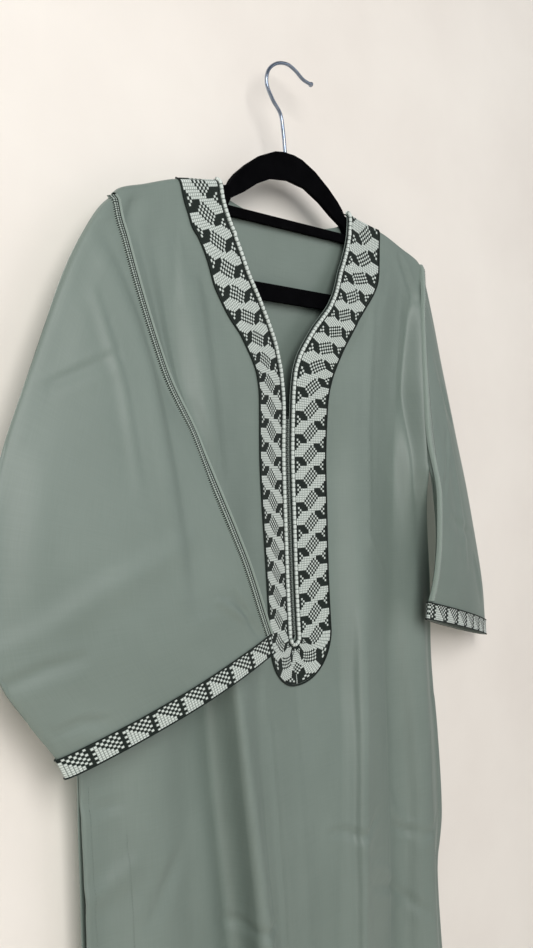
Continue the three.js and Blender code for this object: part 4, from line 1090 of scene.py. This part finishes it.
class Shader:
    """A node material being put together."""

    def __init__(self, name):
        self.material = bpy.data.materials.new(name)
        self.material.use_nodes = True
        self.nodes = self.material.node_tree.nodes
        self.links = self.material.node_tree.links
        self.surface = self.nodes["Principled BSDF"]

    def node(self, kind, **values):
        made = self.nodes.new(kind)
        for key, value in values.items():
            if key in made.inputs:
                made.inputs[key].default_value = value
            else:
                setattr(made, key, value)
        return made

    def link(self, source, target):
        self.links.new(source, target)

    def set(self, **values):
        for key, value in values.items():
            self.surface.inputs[key.replace("_", " ")].default_value = value

    def places(self, scale, source="UV"):
        """Texture places in millimetres times the scale."""
        coordinates = self.node("ShaderNodeTexCoord")
        mapping = self.node("ShaderNodeMapping")
        mapping.inputs["Scale"].default_value = tuple(1000 * s for s in scale)
        self.link(coordinates.outputs[source], mapping.inputs["Vector"])
        return mapping.outputs["Vector"]

    def noise(self, places, detail=3, scale=1.0):
        made = self.node("ShaderNodeTexNoise", Scale=scale, Detail=detail, Roughness=0.55)
        self.link(places, made.inputs["Vector"])
        return made.outputs["Fac"]

    def ramp(self, value, stops):
        made = self.node("ShaderNodeValToRGB")
        for element, (position, colour) in zip(made.color_ramp.elements, stops):
            element.position, element.color = position, colour
        self.link(value, made.inputs["Fac"])
        return made.outputs["Color"]

    def math(self, operation, a, b):
        made = self.node("ShaderNodeMath", operation=operation)
        for socket, value in zip(made.inputs, (a, b)):
            if isinstance(value, (int, float)):
                socket.default_value = value
            else:
                self.link(value, socket)
        return made.outputs["Value"]

    def bump(self, height, distance, strength=1.0, after=None):
        made = self.node("ShaderNodeBump", Strength=strength, Distance=distance * MM)
        self.link(height, made.inputs["Height"])
        if after is not None:
            self.link(after, made.inputs["Normal"])
        return made.outputs["Normal"]

    def wave(self, places, scale):
        made = self.node("ShaderNodeTexWave", Scale=scale, Distortion=0.0)
        self.link(places, made.inputs["Vector"])
        return made.outputs["Fac"]


def woven_cloth(name, dark, light, rough=0.54, source="UV"):
    """Satin-faced cloth: fine threads, very faint streaks along both thread directions, soft sheen."""
    s = Shader(name)
    across = s.noise(s.places((1.1, 0.03, 0.03), source), 3)
    down = s.noise(s.places((0.03, 1.1, 1.1), source), 3)
    cloudy = s.noise(s.places((0.012, 0.009, 0.012), source), 2)
    threads = s.math("ADD", s.math("MULTIPLY", across, 0.5), s.math("MULTIPLY", down, 0.5))
    value = s.math("ADD", s.math("MULTIPLY", threads, 0.55), s.math("MULTIPLY", cloudy, 0.45))
    s.link(s.ramp(value, [(0.3, dark), (0.7, light)]), s.surface.inputs["Base Color"])
    warp = s.wave(s.places((0.45, 0, 0), source), 1.0)
    weft = s.wave(s.places((0, 0.45, 0.45), source), 1.0)
    weave = s.math("MULTIPLY", warp, weft)
    fine = s.bump(weave, 0.04, 0.35)
    s.link(s.bump(threads, 0.1, 0.4, fine), s.surface.inputs["Normal"])
    s.set(Roughness=rough, Sheen_Weight=0.12, Sheen_Roughness=0.35, Specular_IOR_Level=0.62)
    s.surface.inputs["Sheen Tint"].default_value = srgb(205, 218, 212)
    return s.material


def thread(name, dark, light, rough=0.5, sheen=0.3, specular=0.4):
    """Twisted thread: streaks along it and a fine twist."""
    s = Shader(name)
    grain = s.noise(s.places((1.6, 1.6, 1.6), "Object"), 3)
    s.link(s.ramp(grain, [(0.3, dark), (0.7, light)]), s.surface.inputs["Base Color"])
    twist = s.wave(s.places((0.9, 0.9, 0.9), "Object"), 1.0)
    s.link(s.bump(twist, 0.12, 0.6), s.surface.inputs["Normal"])
    s.set(Roughness=rough, Sheen_Weight=sheen, Sheen_Roughness=0.5, Specular_IOR_Level=specular)
    return s.material


def flock():
    """Black flocking: matte, with a faint pile that takes up nearly all light."""
    s = Shader("black_flock")
    pile = s.noise(s.places((2.2, 2.2, 2.2), "Object"), 5)
    rubbed = s.noise(s.places((0.05, 0.05, 0.05), "Object"), 2)
    value = s.math("ADD", s.math("MULTIPLY", pile, 0.6), s.math("MULTIPLY", rubbed, 0.4))
    s.link(s.ramp(value, [(0.35, srgb(3, 3, 4)), (0.7, srgb(10, 10, 12))]), s.surface.inputs["Base Color"])
    s.link(s.bump(pile, 0.25, 0.7), s.surface.inputs["Normal"])
    s.set(Roughness=0.95, Sheen_Weight=0.0, Specular_IOR_Level=0.02)
    return s.material


def chrome():
    """Bright wire with faint drawn lines and handling smudges."""
    s = Shader("chrome_wire")
    smudge = s.noise(s.places((0.12, 0.12, 0.12), "Object"), 3)
    s.link(
        s.ramp(smudge, [(0.3, srgb(118, 129, 146)), (0.7, srgb(158, 168, 183))]),
        s.surface.inputs["Base Color"],
    )
    rough = s.node("ShaderNodeMapRange")
    rough.inputs["To Min"].default_value, rough.inputs["To Max"].default_value = 0.12, 0.3
    s.link(smudge, rough.inputs["Value"])
    s.link(rough.outputs["Result"], s.surface.inputs["Roughness"])
    lines = s.noise(s.places((3.0, 3.0, 0.1), "Object"), 2)
    s.link(s.bump(lines, 0.03, 0.3), s.surface.inputs["Normal"])
    s.set(Metallic=1.0)
    return s.material


def paint(name, dark, light, one_sided=False):
    """Matte painted wall or floor with a faint roller texture. A one-sided wall isn't seen from behind."""
    s = Shader(name)
    mottled = s.noise(s.places((0.004, 0.004, 0.004), "Object"), 4)
    s.link(s.ramp(mottled, [(0.3, dark), (0.7, light)]), s.surface.inputs["Base Color"])
    roller = s.noise(s.places((0.5, 0.5, 0.5), "Object"), 3)
    s.link(s.bump(roller, 0.2, 0.3), s.surface.inputs["Normal"])
    s.set(Roughness=0.85)
    if one_sided:
        geometry = s.node("ShaderNodeNewGeometry")
        mixed = s.node("ShaderNodeMixShader")
        s.link(geometry.outputs["Backfacing"], mixed.inputs["Fac"])
        s.link(s.surface.outputs["BSDF"], mixed.inputs[1])
        s.link(s.node("ShaderNodeBsdfTransparent").outputs["BSDF"], mixed.inputs[2])
        s.link(mixed.outputs["Shader"], s.nodes["Material Output"].inputs["Surface"])
    return s.material


# Pieces

cloth = woven_cloth("sage_cloth", srgb(101, 114, 107), srgb(113, 126, 119))
pale_thread = thread("pale_thread", srgb(186, 197, 191), srgb(214, 222, 217))
# Painted shade: a darker tone for the grooves between pale stitches and the gaps between beads.
painted_gap_shade = thread("painted_gap_shade", srgb(112, 122, 116), srgb(134, 144, 138), 0.6, 0.2)
dark_thread = thread("dark_thread", srgb(18, 25, 22), srgb(34, 43, 39), 0.8, 0.03, 0.15)
knot_thread = thread("knot_thread", srgb(84, 94, 89), srgb(118, 128, 122), 0.6, 0.3)
ridge_thread = thread("ridge_thread", srgb(118, 132, 124), srgb(136, 149, 141), 0.5, 0.2)
loop_thread = thread("loop_thread", srgb(132, 145, 138), srgb(168, 180, 173), 0.5, 0.2)
hem_thread = thread("hem_thread", srgb(88, 98, 92), srgb(110, 120, 114), 0.6, 0.2)
band_threads_and_shade = [pale_thread, dark_thread, painted_gap_shade]

front = front_panel(cloth)
back = back_panel(cloth)
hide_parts("front_panel")
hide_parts("back_panel")

band_left = woven_band("woven_band_left", -1, band_threads_and_shade)
band_right = woven_band("woven_band_right", 1, band_threads_and_shade)
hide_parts("neck_band")
piping = neck_cord("neck_piping", NECK_PIPING, dark_thread)
beaded = neck_cord("beaded_cord", BEADED_CORD, pale_thread, gap_material=painted_gap_shade)
inner_piping = neck_cord("band_inner_piping", BAND_PIPING, dark_thread)
outer_piping = neck_cord("band_outer_cord", OUTER_PIPING, dark_thread, past_band=True)
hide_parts("neck_edge_piping")
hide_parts("neck_beaded_cord")
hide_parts("band_outer_piping")
ground, knots = slit_knots(dark_thread, knot_thread)
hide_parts("slit_fastening")
front_trims = [band_left, band_right, piping, beaded, inner_piping, outer_piping, ground, knots]
front_trims += [seam_stitches(name, way, hem_thread, on_front) for name, way in FRONT_STITCHING.items()]
back_trims = [seam_stitches(name, way, hem_thread, on_back) for name, way in BACK_STITCHING.items()]

for word, sleeve, creases in (
    ("left", LEFT_SLEEVE, LEFT_SLEEVE_CREASES),
    ("right", RIGHT_SLEEVE, RIGHT_SLEEVE_CREASES),
):
    tube_piece = sleeve_tube("sleeve_cloth_" + word, sleeve, cloth, creases)
    band = cuff_band("cuff_weave_" + word, sleeve, band_threads_and_shade, creases)
    upper = cuff_cord("cuff_upper_cord_" + word, sleeve, CUFF_BAND_FROM, dark_thread, creases)
    lower = cuff_cord("cuff_lower_cord_" + word, sleeve, 0.998, dark_thread, creases)
    braid = sleeve_trim("seam_braid_" + word, sleeve, creases, [ridge_thread, dark_thread, loop_thread])
    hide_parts("sleeve_" + word)
    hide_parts("cuff_band_" + word)
    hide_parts("sleeve_trim_" + word)

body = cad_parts["hanger_body"]
body.data.materials.clear()
body.data.materials.append(flock())
bevel = body.modifiers.new("Rounded edges", "BEVEL")
bevel.width, bevel.segments, bevel.limit_method, bevel.angle_limit = 0.0018, 4, "ANGLE", math.radians(50)
hook = hanger_hook(chrome())
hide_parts("hanger_hook")


# Stage, light and camera


def stage_plane(name, corners, material):
    """A wall or floor. It casts no shadow, so that light from behind the wall reaches the garment's back."""
    mesh = bpy.data.meshes.new(name)
    mesh.from_pydata(corners, [], [(0, 1, 2, 3)])
    mesh.materials.append(material)
    plane = bpy.data.objects.new(name, mesh)
    plane.visible_shadow = False
    bpy.context.scene.collection.objects.link(plane)
    plane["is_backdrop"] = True


left, right = -STAGE_HALF, STAGE_HALF
corners = [(left, FLOOR_Z), (right, FLOOR_Z), (right, WALL_TOP_Z), (left, WALL_TOP_Z)]
stage_plane(
    "wall",
    [(x, WALL_Y, z) for x, z in corners],
    paint("wall_paint", srgb(222, 216, 209), srgb(230, 225, 218), one_sided=True),
)
stage_plane(
    "floor",
    [(left, left, FLOOR_Z), (right, left, FLOOR_Z), (right, WALL_Y, FLOOR_Z), (left, WALL_Y, FLOOR_Z)],
    paint("floor_paint", srgb(216, 210, 202), srgb(224, 219, 211)),
)


def placed(right_way, up_way, back_way, place):
    """The matrix of a light or camera from its directions and its place."""
    columns = zip(right_way, up_way, back_way, place)
    return Matrix([*columns, (0, 0, 0, 1)])


def soft_light(name, place, aim, size, power, colour):
    data = bpy.data.lights.new(name, "AREA")
    data.size, data.energy, data.color = size, power, colour
    light = bpy.data.objects.new(name, data)
    bpy.context.scene.collection.objects.link(light)
    back_way = unit(np.array(place) - np.array(aim))
    right_way = unit(np.cross([0, 0, 1], back_way))
    light.matrix_world = placed(right_way, np.cross(back_way, right_way), back_way, place)


for name, settings in LIGHTS.items():
    soft_light(name, *settings)

world = bpy.data.worlds.new("studio")
world.use_nodes = True
background = world.node_tree.nodes["Background"]
background.inputs["Color"].default_value = ROOM_COLOUR
background.inputs["Strength"].default_value = ROOM_STRENGTH
bpy.context.scene.world = world
bpy.context.scene.view_settings.view_transform = "Standard"

camera_data = bpy.data.cameras.new("photo_camera")
camera_data.lens = CAMERA_LENS
camera_data.clip_start = 0.05
camera = bpy.data.objects.new("photo_camera", camera_data)
camera.matrix_world = placed(CAMERA_RIGHT, CAMERA_UP, CAMERA_BACK, CAMERA_PLACE)
bpy.context.scene.collection.objects.link(camera)
bpy.context.scene.camera = camera

plain = lambda box: [list(map(float, corner)) for corner in box]
{"cad": plain(cad_box), "visual": plain(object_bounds())}
